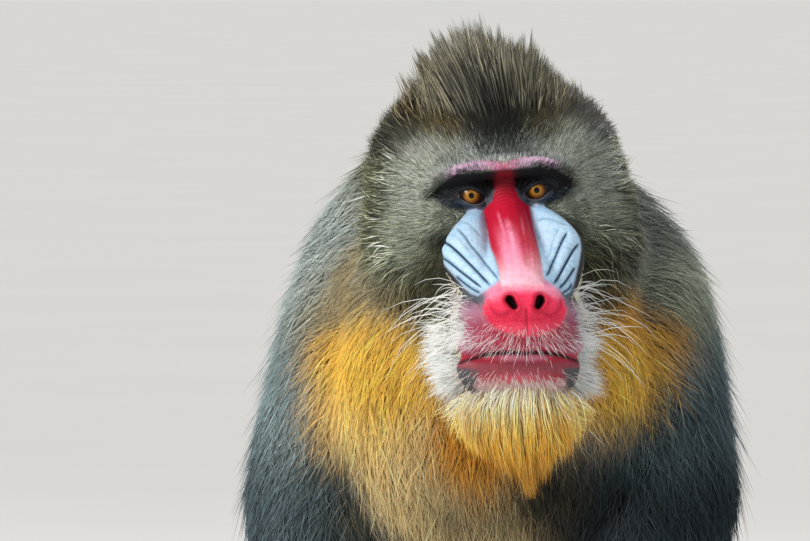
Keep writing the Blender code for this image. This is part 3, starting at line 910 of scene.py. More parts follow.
def painted_face(colours, points):
    """The bare face laid over the skin under the fur."""
    x, y, z = points.T
    wide = np.abs(x)
    muzzle = bare_muzzle(points)
    front = ease(20, 8, y)
    gap, _ = along_front(points, BAND)
    band = ease(4.4, 2.0, gap + 0.8 * waves(points, 4, 16)) * front * ease(45, 34, wide)
    pink = lay(
        BAND_PINK,
        (BAND_BRIGHT, ease(8, 20, x)),
        (BROW_RED, bump(x, 12)),
        (BAND_PALE, 0.35 * blotches(points, 1.8, 17)),
        (BAND_DULL, 0.7 * ease(30, 46, wide)),
    )
    socket = socket_share(points + 1.3 * waves(points, 3.5, 25)[:, None], 2.2)
    inner = ease(20, 13, wide) * ease(0, 4, z) * ease(18.5, 15, z)
    colours = lay(
        colours,
        (pink, band),
        (BLACK, np.maximum(socket, inner * front)),
        (DARK_RED, front * bump(x, 6.5) * ease(0, 6, z) * ease(19, 13, z)),
        (SLATE, 0.8 * socket * ease(0, -6, z)),
        (MUZZLE_SHADE, beside_muzzle(points)),
    )
    colours = painted_mouth(colours, points, muzzle)
    colours = painted_bridge(colours, points, front * ease(-70, -60, z))
    colours = painted_ridges(colours, points, on_muzzle(points))
    colours = painted_nose(colours, points, muzzle)
    near = ease(20, 10, y)
    for _, side in SIDES:
        gap, up = lid_gap(points, side)
        # Painted shade: two dark lines in the creases round each eye.
        crease_shade = 0.35 * near * ease(9, 3, np.abs(up))
        colours = lay(
            colours,
            (BLACK, near * ease(2.2, 1.0, gap)),
            (LID_RIM, 0.7 * near * bump(gap - 0.9, 0.5) * ease(-1, -4, up)),
            *((LID_CREASE_SHADE, crease_shade * bump(gap - away, 0.5)) for away in (2.2, 4.2)),
        )
    return colours


def seat_gap(points, radii):
    """How far points are from the middle of the bare seat, in its own radii."""
    return np.linalg.norm((points - (0, 0.225, 0.085)) / radii, axis=1)


def painted_body(colours, points, facing):
    """Dark palms and soles, and the lilac and pink seat."""
    x, y, z = points.T
    ends = ease(-0.150, -0.185, y) * ease(0.055, 0.035, z)
    ends = np.maximum(ends, ease(-0.5, -0.8, facing[:, 2]) * ease(0.02, 0.01, z) * ease(-0.06, -0.09, y))
    gap = seat_gap(points, (0.068, 0.075, 0.068)) + 0.08 * waves(points, 0.02, 24)
    pads = np.hypot((np.abs(x) - 0.030) / 0.022, (z - 0.050) / 0.030)
    seat = lay(
        SEAT_BLUE,
        (SEAT_LILAC, ease(0.9, 0.5, gap)),
        (SEAT_RED, bump(x, 0.014) * ease(0.10, 0.13, z + 0.02)),
        (SEAT_PAD, ease(1.1, 0.85, pads)),
    )
    worn = 0.5 * ends * blotches(points, 0.006, 23)
    return lay(colours, (PALM_SKIN, ends), (WORN_PALM, worn), (seat, ease(1.12, 0.95, gap)))


def shine_of(points):
    """The bare face's roughness: lids, nose and lips are moist."""
    muzzle = bare_muzzle(points)
    rough = mix(np.full(len(points), 0.72), 0.58, muzzle)
    rough = mix(rough, 0.42, across_front(points, both_sides(NOSE_PAD), 1.5) * ease(-60, -70, points[:, 1]))
    rough = mix(rough, 0.34, furrow(points, MOUTH, 4) * muzzle)
    for _, side in SIDES:
        gap, _ = lid_gap(points, side)
        rough = mix(rough, 0.2, ease(1.6, 0.8, gap) * ease(12, 6, points[:, 1]))
    return rough


# --- Finishes ---

FLOOR_TONES = ((0.74, 0.72, 0.69), (0.78, 0.765, 0.74))
NAIL_TONES = ((0.018, 0.014, 0.012), (0.085, 0.065, 0.050))
FUR_ROUGHNESS = 0.62
DULL = 0.14  # how strongly skin and fur mirror


class Wire:
    """A socket whose sums, products and so on are further nodes."""

    def __init__(self, finish, socket):
        self.finish = finish
        self.socket = socket

    def __add__(self, other):
        return self.finish.maths("ADD", self, other)

    def __sub__(self, other):
        return self.finish.maths("SUBTRACT", self, other)

    def __rsub__(self, other):
        return self.finish.maths("SUBTRACT", other, self)

    def __mul__(self, other):
        return self.finish.maths("MULTIPLY", self, other)

    __radd__ = __add__
    __rmul__ = __mul__


class Finish:
    """One material, put together from expressions on its sockets."""

    def __init__(self, name):
        self.material = bpy.data.materials.new(name)
        self.material.use_nodes = True
        self.tree = self.material.node_tree
        self.tree.nodes.clear()

    def node(self, kind, sockets=None, out=0, **settings):
        """A node of the kind, its settings made first, then its sockets' values or links, and its output."""
        made = self.tree.nodes.new("ShaderNode" + kind)
        for name, value in settings.items():
            setattr(made, name, value)
        for name, value in (sockets or {}).items():
            socket = made.inputs[name]
            if isinstance(value, Wire):
                self.tree.links.new(value.socket, socket)
            elif socket.type == "RGBA":
                socket.default_value = (*value, 1)
            else:
                socket.default_value = value
        return Wire(self, made.outputs[out]) if len(made.outputs) else made

    def maths(self, operation, first, second):
        return self.node("Math", {0: first, 1: second}, operation=operation)

    def blend(self, share, first, second):
        """A colour between two."""
        return self.node("Mix", {0: share, 6: first, 7: second}, out=2, data_type="RGBA")

    def scaled(self, colour, amount):
        """A colour made lighter or darker."""
        return self.node("VectorMath", {"Vector": colour, "Scale": amount}, operation="SCALE")

    def place(self):
        return self.node("TexCoord", out="Object")

    def noise(self, scale, detail=2.0, stretch=None):
        """Soft noise with this many grains to the metre, from 0 to 1."""
        where = self.place()
        if stretch:
            where = self.node("Mapping", {"Vector": where, "Scale": stretch})
        return self.node("TexNoise", {"Vector": where, "Scale": scale, "Detail": detail})

    def painted(self, name="paint"):
        return self.node("Attribute", out="Color", attribute_name=name)

    def number(self, name):
        return self.node("Attribute", out="Fac", attribute_name=name)

    def bumped(self, height, distance, strength=1.0):
        """A surface raised by up to a distance, in metres."""
        return self.node("Bump", {"Height": height, "Distance": distance, "Strength": strength})

    def surface(self, **sockets):
        """The finished surface, from the Principled shader's sockets, their words joined by _."""
        named = {name.replace("_", " "): value for name, value in sockets.items()}
        shader = self.node("BsdfPrincipled", named)
        self.node("OutputMaterial", {"Surface": shader})
        return self.material


def skin_finish():
    """Bare skin in its painted colours, with pores and fine wrinkles."""
    finish = Finish("skin")
    pores = finish.node("TexVoronoi", {"Vector": finish.place(), "Scale": 1100.0, "Randomness": 1.0})
    grain = finish.noise(1600.0, 3.0)
    mottle = finish.noise(260.0, 4.0)
    speckle = finish.noise(720.0, 2.0)
    colour = finish.scaled(finish.painted(), 0.38 + 0.40 * mottle + 0.30 * grain + 0.55 * speckle)
    rough = finish.number("shine") + 0.16 * (grain - 0.5)
    height = 0.28 * pores + 0.35 * grain + 0.4 * mottle
    return finish.surface(
        Base_Color=colour,
        Roughness=rough,
        Normal=finish.bumped(height, 0.00022, 0.8),
        Specular_IOR_Level=DULL,
        Subsurface_Weight=0.06,
        Subsurface_Radius=(0.004, 0.0015, 0.001),
        Subsurface_Scale=1.0,
    )


def coat_finish():
    """Hair in its painted colours, with darker and lighter stretches."""
    finish = Finish("fur")
    fine = finish.noise(900.0, 2.0)
    colour = finish.scaled(finish.painted("coat"), 0.72 + 0.56 * fine)
    return finish.surface(
        Base_Color=colour,
        Roughness=FUR_ROUGHNESS + 0.2 * (finish.noise(500.0) - 0.5),
        Normal=finish.bumped(finish.noise(2600.0, 1.0, stretch=(1, 1, 0.2)), 0.0001, 0.5),
        Specular_IOR_Level=DULL,
    )


def eye_finish():
    """A wet eye with its painted iris."""
    finish = Finish("eye")
    fleck = finish.noise(2600.0, 3.0)
    return finish.surface(
        Base_Color=finish.scaled(finish.painted(), 0.7 + 0.6 * fleck),
        Roughness=0.3 + 0.1 * fleck,
        Specular_IOR_Level=0.0,
        Coat_Weight=0.8,
        Coat_Roughness=0.02,
        Coat_IOR=1.3,
    )


def horn_finish():
    """Dark nails with fine lengthwise streaks."""
    finish = Finish("nail")
    streak = finish.noise(900.0, 2.0, stretch=(3, 0.5, 1))
    return finish.surface(
        Base_Color=finish.blend(streak, *NAIL_TONES),
        Roughness=0.32 + 0.15 * streak,
        Normal=finish.bumped(streak, 0.00015, 0.5),
    )


def floor_finish():
    """A pale floor with a faint cloudy grain."""
    finish = Finish("floor")
    cloud = finish.noise(2.0, 3.0)
    colour = finish.blend(cloud, *FLOOR_TONES)
    grain = finish.noise(500.0)
    return finish.surface(
        Base_Color=colour,
        Roughness=0.8 + 0.1 * grain,
        Normal=finish.bumped(grain, 0.0003, 0.4),
    )


def ear_finish():
    """Thin skin of the ear, darker in its hollow with painted shade."""
    finish = Finish("ear")
    grain = finish.noise(1200.0, 3.0)
    return finish.surface(
        Base_Color=finish.scaled(finish.painted(), 0.7 + 0.5 * grain),
        Roughness=0.55 + 0.2 * grain,
        Normal=finish.bumped(grain, 0.0003, 0.6),
        Specular_IOR_Level=0.3,
    )


# --- The coat's lie and length ---

# Where the coat grows which way, in millimetres: zones, and in each its places on the animal's left or
# middle, the way the coat lies there, and its length.
BODY_LIE = (
    ("cape",
        ((0, 20, 620), (0, 0.6, -0.8), 62), ((110, -10, 570), (0.75, 0.05, -0.65), 66),
        ((90, 90, 560), (0.4, 0.4, -0.8), 70), ((0, 160, 550), (0, 0.5, -0.85), 72),
    ),
    ("mantle",
        ((155, 20, 500), (0.65, 0, -0.75), 66), ((160, 30, 420), (0.12, -0.05, -1), 72),
        ((100, -100, 530), (0.8, -0.15, -0.6), 54), ((120, -80, 450), (0.6, -0.1, -0.8), 56),
        ((140, -30, 380), (0.3, -0.1, -0.95), 56),
    ),
    ("chest",
        ((30, -130, 500), (0.1, -0.45, -0.9), 60), ((70, -125, 460), (0.45, -0.3, -0.85), 54),
        ((45, -120, 410), (0.15, -0.25, -1), 56), ((40, -85, 340), (0, 0.1, -1), 48),
    ),
    ("belly", ((30, -30, 220), (0, 0.05, -1), 34), ((60, 10, 150), (0.1, 0.1, -1), 26)),
    ("back",
        ((0, 175, 450), (0, 0.15, -1), 74), ((100, 130, 480), (0.35, 0.25, -0.9), 74),
        ((150, 100, 400), (0.2, 0.15, -1), 68), ((0, 205, 330), (0, 0.1, -1), 54),
        ((110, 130, 330), (0.1, 0.1, -1), 52), ((130, 70, 300), (0.05, 0.05, -1), 46),
        ((0, 235, 220), (0, 0, -1), 34), ((100, 170, 190), (0.2, 0.1, -0.95), 34),
    ),
    ("rump", ((50, 225, 130), (0.5, 0.1, -0.8), 14)),
    ("tail", ((0, 250, 130), (0, 0.6, 0.8), 18), ((0, 285, 190), (0, 0.2, 1), 15)),
    ("arm",
        ((155, 0, 350), (0, -0.2, -1), 52), ((165, -30, 280), (0, -0.3, -1), 44),
        ((110, -50, 230), (0, -0.4, -0.9), 38), ((140, -60, 200), (0, -0.45, -0.9), 36),
        ((110, -110, 130), (0, -0.5, -0.85), 30), ((95, -150, 70), (0, -0.7, -0.7), 18),
    ),
    ("hand", ((90, -190, 35), (0, -1, -0.2), 8)),
    ("leg",
        ((110, 60, 220), (0.75, -0.6, 0.1), 36), ((130, 30, 240), (0.8, -0.6, 0.1), 34),
        ((170, 80, 120), (0.75, -0.6, 0), 30), ((240, -40, 230), (0.5, -0.6, -0.6), 26),
        ((250, -90, 140), (0, -0.35, -0.95), 26), ((190, -60, 120), (0, -0.1, -1), 24),
        ((210, -110, 70), (0, -0.4, -0.9), 16),
    ),
    ("foot", ((200, -150, 40), (0, -1, -0.3), 8)),
)
# The head's places are in its own frame.
HEAD_LIE = (
    ("cheek",
        ((0, 0, 27), (0, 0.5, 0.85), 5), ((25, 2, 28), (0.35, 0.45, 0.8), 6),
        ((0, 10, 45), (0, 0.45, 0.9), 11), ((35, 25, 48), (0.4, 0.4, 0.8), 11),
        ((50, 8, 20), (0.7, 0.5, 0.5), 7), ((60, 10, 0), (0.8, 0.6, 0), 8),
        ((52, 4, -30), (0.75, 0.55, -0.3), 9), ((50, 0, -60), (0.6, 0.5, -0.55), 11),
        ((65, 25, -20), (0.75, 0.6, -0.1), 14),
    ),
    ("ruff",
        ((78, 40, 0), (0.75, 0.65, 0.15), 22), ((80, 38, -40), (0.7, 0.6, -0.4), 25),
        ((72, 25, -75), (0.6, 0.4, -0.7), 28), ((60, 10, -100), (0.5, 0.2, -0.8), 30),
        ((95, 75, 0), (0.6, 0.75, -0.1), 34), ((85, 90, -50), (0.5, 0.6, -0.6), 42),
        ((85, 65, 40), (0.7, 0.45, 0.55), 28),
    ),
    ("crown",
        ((60, 60, 62), (0.45, 0.35, 0.8), 25), ((0, 30, 75), (0, 0.25, 1), 24),
        ((0, 110, 80), (0, 0.7, 0.6), 30), ((50, 120, 50), (0.3, 0.8, 0.2), 34),
    ),
    ("cape", ((0, 150, 20), (0, 0.6, -0.8), 50)),
    ("throat", ((0, 10, -135), (0, -0.3, -0.95), 30)),
    ("sidebeard",
        ((44, -22, -92), (0.85, 0, -0.55), 22), ((42, -28, -122), (0.55, -0.1, -0.85), 26),
        ((50, -5, -108), (0.75, 0.2, -0.65), 28),
    ),
)


def both_places(place, in_head):
    """The sides and places in the world of a place in millimetres, mirrored unless it lies in the middle."""
    x, y, z = place
    for side in (1, -1) if x else (1,):
        if in_head:
            yield side, HEAD_MM @ Vector((side * x, y, z))
        else:
            yield side, Vector((side * x * MM, y * MM, z * MM))


def spread_guides():
    """All guides in the world, on both sides: zones, places, ways and lengths."""
    rows = []
    for table, in_head in ((BODY_LIE, False), (HEAD_LIE, True)):
        for zone, *guides in table:
            for place, way, length in guides:
                for side, here in both_places(place, in_head):
                    there = Vector((side * way[0], *way[1:]))
                    there = HEAD.to_3x3() @ there if in_head else there
                    rows.append((zone, tuple(here), tuple(there.normalized()), length * MM))
    return [np.array(column) for column in zip(*rows)]


GUIDE_ZONES, GUIDE_PLACES, GUIDE_WAYS, GUIDE_LENGTHS = spread_guides()


BLOCK = 20000


def nearness(points, places, sharp):
    """Each place's share at each point, by distance. Sharper shares keep more to the nearest place."""
    gap = ((points**2).sum(1)[:, None] + (places**2).sum(1) - 2 * points @ places.T).clip(1e-7) + 1e-5
    share = gap ** (-sharp / 2)
    return share / share.sum(1, keepdims=True)


def in_blocks(work, points):
    """What a function makes of many points, a block at a time."""
    return np.concatenate([work(points[k : k + BLOCK]) for k in range(0, len(points), BLOCK)])


def lie_at(points):
    """The way the coat lies at points and its length there."""
    share = nearness(points, GUIDE_PLACES, 4.5)
    return np.column_stack([share @ GUIDE_WAYS, share @ GUIDE_LENGTHS])


def zone_at(points):
    return nearness(points, GUIDE_PLACES, 2).argmax(1)


# --- The coat's markings ---

COAT_TONES = {
    "black": (0.016, 0.016, 0.014),
    "blue_black": (0.020, 0.030, 0.037),
    "slate": (0.205, 0.270, 0.280),
    "pale_slate": (0.32, 0.37, 0.35),
    "dark_slate": (0.072, 0.103, 0.116),
    "grey": (0.130, 0.137, 0.118),
    "frost": (0.52, 0.60, 0.53),
    "grizzle": (0.42, 0.45, 0.36),
    "frosted_olive": (0.34, 0.385, 0.30),
    "pale_olive": (0.27, 0.30, 0.22),
    "olive": (0.125, 0.125, 0.072),
    "dark_olive": (0.055, 0.055, 0.031),
    "brown": (0.070, 0.054, 0.024),
    "dark_brown": (0.036, 0.034, 0.024),
    "tan": (0.32, 0.26, 0.14),
    "gold": (0.90, 0.50, 0.075),
    "pale_gold": (0.92, 0.58, 0.19),
    "deep_gold": (0.62, 0.30, 0.040),
    "orange": (0.58, 0.245, 0.032),
    "rust": (0.30, 0.15, 0.040),
    "cream": (0.74, 0.54, 0.25),
    "white": (0.82, 0.76, 0.62),
    "fawn_grey": (0.30, 0.28, 0.22),
}
# The tone that the coat shows at a place in millimetres, and how strongly its hairs differ.
HEAD_TONES = (
    ("frost", 1.01, (0, 0, 27)), ("frost", 1.3, (28, 3, 28)), ("grizzle", 1.3, (46, 14, 36)),
    ("black", 0.6, (-6, 8, 42)), ("black", 0.6, (12, 12, 52)), ("black", 0.6, (0, 25, 68)),
    ("black", 0.6, (20, 26, 62)), ("brown", 1.45, (34, 20, 48)), ("brown", 1.45, (44, 34, 58)),
    ("grizzle", 1.16, (48, 10, 22)), ("frosted_olive", 1.3, (62, 14, 6)),
    ("pale_olive", 1.16, (55, 5, -20)), ("pale_olive", 1.16, (70, 25, -35)), ("olive", 1.16, (54, 5, -52)),
    ("dark_olive", 1.16, (52, 2, -70)), ("olive", 1.16, (66, 15, -78)), ("dark_olive", 1.01, (58, 5, -90)),
    ("olive", 1.3, (88, 60, 10)), ("olive", 1.3, (88, 60, -35)), ("dark_brown", 1.2, (82, 60, 45)),
    ("dark_brown", 1.2, (70, 42, 54)), ("brown", 1.45, (60, 60, 75)), ("brown", 1.45, (0, 60, 90)),
    ("olive", 1.16, (0, 120, 70)), ("olive", 1.16, (60, 120, 40)), ("slate", 0.7, (90, 85, -60)),
    ("white", 0.2, (46, -25, -85)), ("white", 0.2, (46, -22, -105)), ("white", 0.2, (42, -30, -128)),
    ("white", 0.25, (52, -8, -112)), ("cream", 0.3, (30, -40, -142)), ("deep_gold", 0.3, (0, -20, -140)),
)
BODY_TONES = (
    ("pale_slate", 0.35, (120, -30, 525)), ("pale_slate", 0.35, (145, 10, 500)),
    ("slate", 0.4, (140, 0, 430)), ("slate", 0.4, (160, 50, 450)), ("dark_slate", 0.5, (150, -20, 360)),
    ("dark_slate", 0.5, (140, -40, 290)), ("blue_black", 0.5, (110, -80, 200)),
    ("blue_black", 0.4, (100, -140, 90)), ("black", 0.4, (90, -190, 30)), ("tan", 0.5, (100, -70, 520)),
    ("olive", 0.8, (0, 100, 600)), ("olive", 0.8, (70, 120, 560)), ("olive", 0.8, (0, 190, 450)),
    ("olive", 0.7, (120, 130, 420)), ("dark_slate", 0.6, (165, 80, 380)),
    ("dark_olive", 0.7, (0, 220, 330)), ("dark_olive", 0.7, (110, 140, 300)),
    ("dark_olive", 0.6, (0, 240, 230)), ("fawn_grey", 0.4, (0, -40, 240)), ("fawn_grey", 0.4, (50, 0, 170)),
    ("cream", 0.4, (0, -110, 340)), ("dark_olive", 0.6, (140, 30, 220)),
    ("dark_olive", 0.6, (230, -50, 200)), ("blue_black", 0.5, (220, -100, 110)),
    ("black", 0.4, (200, -150, 40)), ("dark_olive", 0.6, (150, 120, 120)),
    ("dark_olive", 0.6, (0, 260, 150)), ("olive", 0.6, (0, 290, 200)), ("fawn_grey", 0.4, (80, 20, 90)),
)
# Patches laid over those: tone, how its hairs differ, centre and radii in millimetres. Many lie on one side
# only: the dark ones on the animal's left, away from the key light, are partly painted shade, and most gold,
# cream and tan ones lie on its right, towards the key, partly painted light.
PATCHES_AND_SIDE_SHADE = (
    ("grizzle", 1.2, (90, -108, 590), (30, 50, 28)), ("dark_olive", 1.1, (108, -85, 512), (44, 70, 32)),
    ("grey", 0.5, (150, -20, 505), (54, 90, 42)), ("dark_slate", 0.4, (178, 0, 455), (26, 70, 55)),
    ("pale_olive", 0.6, (150, -10, 500), (36, 80, 36)), ("grey", 0.5, (124, 0, 552), (34, 80, 28)),
    ("blue_black", 0.4, (165, -30, 345), (36, 90, 50)), ("tan", 0.4, (-83, -80, 465), (66, 100, 55)),
    ("slate", 0.4, (-146, -40, 412), (34, 100, 46)), ("cream", 0.3, (-45, -120, 370), (56, 90, 66)),
    ("tan", 0.4, (2, -110, 338), (44, 80, 30)), ("orange", 0.3, (8, -130, 392), (40, 70, 50)),
    ("pale_gold", 0.3, (-80, -90, 414), (52, 100, 42)), ("gold", 0.25, (-82, -90, 445), (52, 100, 34)),
    ("gold", 0.25, (-45, -130, 444), (36, 70, 36)), ("blue_black", 0.4, (110, -80, 345), (75, 100, 56)),
    ("dark_slate", 0.5, (142, -50, 402), (50, 90, 40)), ("dark_brown", 0.4, (58, -100, 352), (30, 90, 36)),
    ("deep_gold", 0.3, (128, -90, 463), (38, 80, 36)), ("gold", 0.25, (108, -100, 438), (36, 80, 36)),
    ("rust", 0.3, (40, -130, 440), (50, 60, 35)), ("deep_gold", 0.3, (78, -130, 440), (36, 60, 38)),
)


def spread_tones():
    rows = []
    for tones, in_head in ((HEAD_TONES, True), (BODY_TONES, False)):
        for tone, speckle, place in tones:
            rows += [(*COAT_TONES[tone], speckle, *here) for _, here in both_places(place, in_head)]
    return np.array(rows)


TONE_ROWS = spread_tones()


def markings(points):
    """The coat's colour at points, and how strongly its hairs differ there."""
    share = nearness(points, TONE_ROWS[:, 4:], 6)
    marks = share @ TONE_ROWS[:, :4]
    ragged = 0.16 * waves(points, 0.030, 21) + 0.12 * waves(points, 0.011, 22)
    # One-sided patches, partly painted shade on the side away from the key light and painted light on the
    # side towards it.
    for tone, speckle, centre, radii in PATCHES_AND_SIDE_SHADE:
        gap = np.linalg.norm((points - MM * np.array(centre)) / (MM * np.array(radii)), axis=1) + ragged
        patch = np.array((*COAT_TONES[tone], speckle))
        marks = mix(marks, patch, ease(1.28, 0.62, gap)[:, None])
    return marks


# --- Growing the coat ---

DEEPEST = 0.055  # the coat stops where the skin lies this deep, as between arm and chest
FLOOR_CLEARANCE = 0.6 * MM
SUNK = 1.0 * MM  # how deep the tufts' roots lie in the skin
PATCH = 0.003  # how much of the UV square one tuft takes
BAND_WIDTH = (3.6, 2.0)  # the coat thins out towards the pink band's middle line
TOES_FROM = -0.222  # the toes are bare in front of this
SEAT_RADII = (0.062, 0.07, 0.062)


class Hide:
    """The finished skin as numbers, and how deep the coat is over each of its triangles."""

    def __init__(self, skin, outline):
        mesh = skin.data
        mesh.calc_loop_triangles()
        corners = np.empty(len(mesh.loop_triangles) * 3, np.int32)
        mesh.loop_triangles.foreach_get("vertices", corners)
        self.points = points_of(mesh)
        self.triangles = corners.reshape(-1, 3)
        a, b, c = (self.points[self.triangles[:, k]] for k in range(3))
        self.centres = (a + b + c) / 3
        self.areas = np.linalg.norm(np.cross(b - a, c - a), axis=1) / 2
        self.normals = unit(normals_of(mesh)[self.triangles].sum(1))
        self.tree = BVHTree.FromPolygons(self.points.tolist(), self.triangles.tolist())
        outline_tree = BVHTree.FromObject(outline, bpy.context.evaluated_depsgraph_get())
        self.depth = np.empty(len(self.centres))
        for k, (centre, normal) in enumerate(zip(self.centres.tolist(), self.normals)):
            spot, _, _, gap = outline_tree.find_nearest(centre)
            outward = (np.array(spot) - centre) @ normal
            self.depth[k] = gap if outward > 0 else 0.0
        self.in_head = on_head(self.centres)
        self.zones = GUIDE_ZONES[in_blocks(zone_at, self.centres)]
        self.furred = self.fur_share()

    def fur_share(self):
        """Where the coat grows: 0 on the bare face, palms, soles and seat."""
        head = self.in_head
        x, y, z = head.T
        low = self.centres[:, 2]
        gap, _ = along_front(head, BAND)
        share = (1 - bare_muzzle(head, 1.0)) * (1 - socket_share(head, 2.2)) * (self.depth < DEEPEST)
        share *= 1 - ease(*BAND_WIDTH, gap) * ease(20, 8, y)
        share *= ease(0.004, 0.008, low) * ease(0.8, 1.15, seat_gap(self.centres, SEAT_RADII))
        between_eyes = (np.abs(x) < 10) & (z > -6) & (z < 18) & (y < 25)
        toes = (self.centres[:, 1] < TOES_FROM) & (low < 0.05)
        soles = (self.normals[:, 2] < -0.35) & (low < 0.03)
        return np.where(between_eyes | toes | soles, 0, share)

    def roots(self, weights, count, draw):
        """Places spread over the skin by each triangle's weight: points, normals and triangles."""
        total = np.cumsum(weights)
        picks = np.searchsorted(total, (np.arange(count) + draw.random(count)) / count * total[-1])
        picks = np.minimum(picks, len(weights) - 1)
        a, b = draw.random((2, count, 1))
        over = a + b > 1
        a, b = np.where(over, 1 - a, a), np.where(over, 1 - b, b)
        p, q, r = (self.points[self.triangles[picks, k]] for k in range(3))
        return p + (q - p) * a + (r - p) * b, self.normals[picks], picks

    def surface_under(self, points):
        """The nearest place on the skin, its normal and the coat's depth there."""
        found = [self.tree.find_nearest(point) for point in points.tolist()]
        faces = [face for _, _, face, _ in found]
        return np.array([tuple(spot) for spot, _, _, _ in found]), self.normals[faces], self.depth[faces]


def fluff(points):
    """How many millimetres further the coat stands out, on the crown's sides and the ruff."""
    x, y, z = points.T
    crown = bump(np.abs(x) - 72, 26) * bump(z - 55, 24)
    ruff = bump(np.abs(x) - 92, 22) * bump(z + 5, 45)
    return (13 * crown + 5 * ruff) * ease(5, 30, y)


def lying_tufts(hide, roots, normals, steps, draw, stray, length_share, loose_share):
    """Spines that follow the coat's lie over the skin and rise through its depth."""
    count = len(roots)
    lengths = in_blocks(lie_at, roots)[:, 3] * draw.uniform(0.65, 1.2, count) * length_share
    loft = fluff(on_head(roots)) * MM
    aside = draw.normal(0, stray, count)
    reach = draw.uniform(0.72, 1.04, count)
    loose = np.where(draw.random(count) < loose_share, draw.uniform(0.05, 0.25, count), 0) * lengths
    spine, ups = [roots - normals * SUNK], [normals]
    here, up = roots, normals
    for step in range(1, steps + 1):
        way = in_blocks(lie_at, here)[:, :3]
        way = unit(way - up * (way * up).sum(1)[:, None])
        way = unit(way + np.cross(up, way) * aside[:, None])
        here, up, depth = hide.surface_under(here + way * (lengths / steps)[:, None])
        rise = 1 - (1 - step / steps) ** 1.6
        height = (np.minimum(depth, 0.9 * lengths) * reach + loft) * rise
        height += loose * (step / steps) ** 2 + 0.3 * MM
        spine.append(here + up * height[:, None])
        ups.append(up)
    return np.stack(spine, 1), np.stack(ups, 1)


def gathered(spine, draw, share, strength):
    """Draws the spines' ends together in locks, each round one spine in a few."""
    count, rings = spine.shape[:2]
    leaders = draw.choice(count, max(1, int(count * share)), replace=False)
    tree = KDTree(len(leaders))
    for k, leader in enumerate(leaders):
        tree.insert(spine[leader, 0], k)
    tree.balance()
    nearest = leaders[[tree.find(root)[1] for root in spine[:, 0].tolist()]]
    pull = (np.arange(rings) / (rings - 1))[None, :, None] ** 1.5
    pull = pull * (strength * draw.uniform(0.5, 1.0, count))[:, None, None]
    return spine + (spine[nearest] - spine) * pull


def unrolled(roots):
    """The roots' places on the skin unrolled round its long axis, from 0 to 1 both ways."""
    middle = roots.mean(0)
    _, _, axes = np.linalg.svd((roots - middle)[:: max(1, len(roots) // 2000)], full_matrices=False)
    long, across, out = ((roots - middle) @ axis for axis in axes)
    around = np.arctan2(out, across) / math.tau + 0.5
    along = (long - long.min()) / (np.ptp(long) + 1e-9)
    return columns(around, along) * (1 - PATCH)


def tuft_faces(count, rings):
    """The triangles of closed three-sided tufts: a root cap, rings of three corners and a tip."""
    faces = [(2, 1, 0)]
    for low in range(0, 3 * rings - 3, 3):
        for k in range(3):
            a, b = low + k, low + (k + 1) % 3
            faces += [(a, b, b + 3), (a, b + 3, a + 3)]
    tip = rings * 3
    faces += [(tip - 3 + k, tip - 3 + (k + 1) % 3, tip) for k in range(3)]
    return (np.array(faces)[None] + (np.arange(count) * (tip + 1))[:, None, None]).reshape(-1, 3)


def mesh_of(name, points, faces):
    """A smooth mesh of triangles."""
    mesh = bpy.data.meshes.new(name)
    mesh.vertices.add(len(points))
    mesh.vertices.foreach_set("co", points.astype(np.float32).ravel())
    mesh.loops.add(faces.size)
    mesh.loops.foreach_set("vertex_index", faces.astype(np.int32).ravel())
    mesh.polygons.add(len(faces))
    mesh.polygons.foreach_set("loop_start", np.arange(0, faces.size, 3, dtype=np.int32))
    mesh.update(calc_edges=True)
    mesh.shade_smooth()
    return mesh


def tufts(name, spine, ups, widths, colours, finish):
    """A joined mesh of closed three-sided tufts along the spines."""
    count, rings = spine.shape[0], spine.shape[1] - 1
    ahead = np.gradient(spine, axis=1)
    side = unit(np.cross(ups, ahead))
    up = unit(np.cross(ahead, side))[:, :rings]
    side = side[:, :rings]
    swell = np.interp(np.arange(rings) / max(rings, 1), (0, 0.35, 0.7, 1), (0.8, 1, 0.8, 0.35))
    radius = (widths[:, None] / 2 * swell[None, :])[..., None]
    corners = np.empty((count, rings, 3, 3))
    normals = np.empty((count, rings, 3, 3))
    for k, (sideways, upward) in enumerate(((-1, -0.35), (1, -0.35), (0, 0.75))):
        corners[:, :, k] = spine[:, :rings] + (side * sideways + up * upward) * radius
        normals[:, :, k] = unit(ups[:, :rings] * 1.6 + side * sideways * 0.7)

    def tipped(rows, tips):
        """The rings' values and the tips', tuft by tuft."""
        return np.concatenate([rows.reshape(count, -1, 3), tips], 1).reshape(-1, 3)

    points = tipped(corners, spine[:, -1:])
    points[:, 2] = np.maximum(points[:, 2], FLOOR_CLEARANCE)
    faces = tuft_faces(count, rings)
    mesh = mesh_of(name, points, faces)
    set_attribute(mesh, "custom_normal", "FLOAT_VECTOR", tipped(normals, unit(ups[:, -1:])), "vector")
    set_colours(mesh, "coat", tipped(np.repeat(colours[:, :rings], 3, 1), colours[:, -1:]))
    corner = np.array([(k / 2, ring / rings) for ring in range(rings) for k in range(3)] + [(0.5, 1)])
    places = (unrolled(spine[:, 0])[:, None] + corner[None] * PATCH).reshape(-1, 2)
    bake = mesh.uv_layers.new(name="OFBake")
    bake.data.foreach_set("uv", places[faces.ravel()].astype(np.float32).ravel())
    mesh.materials.append(finish)
    piece = new_object(name, mesh)
    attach(piece, "root")
    return piece


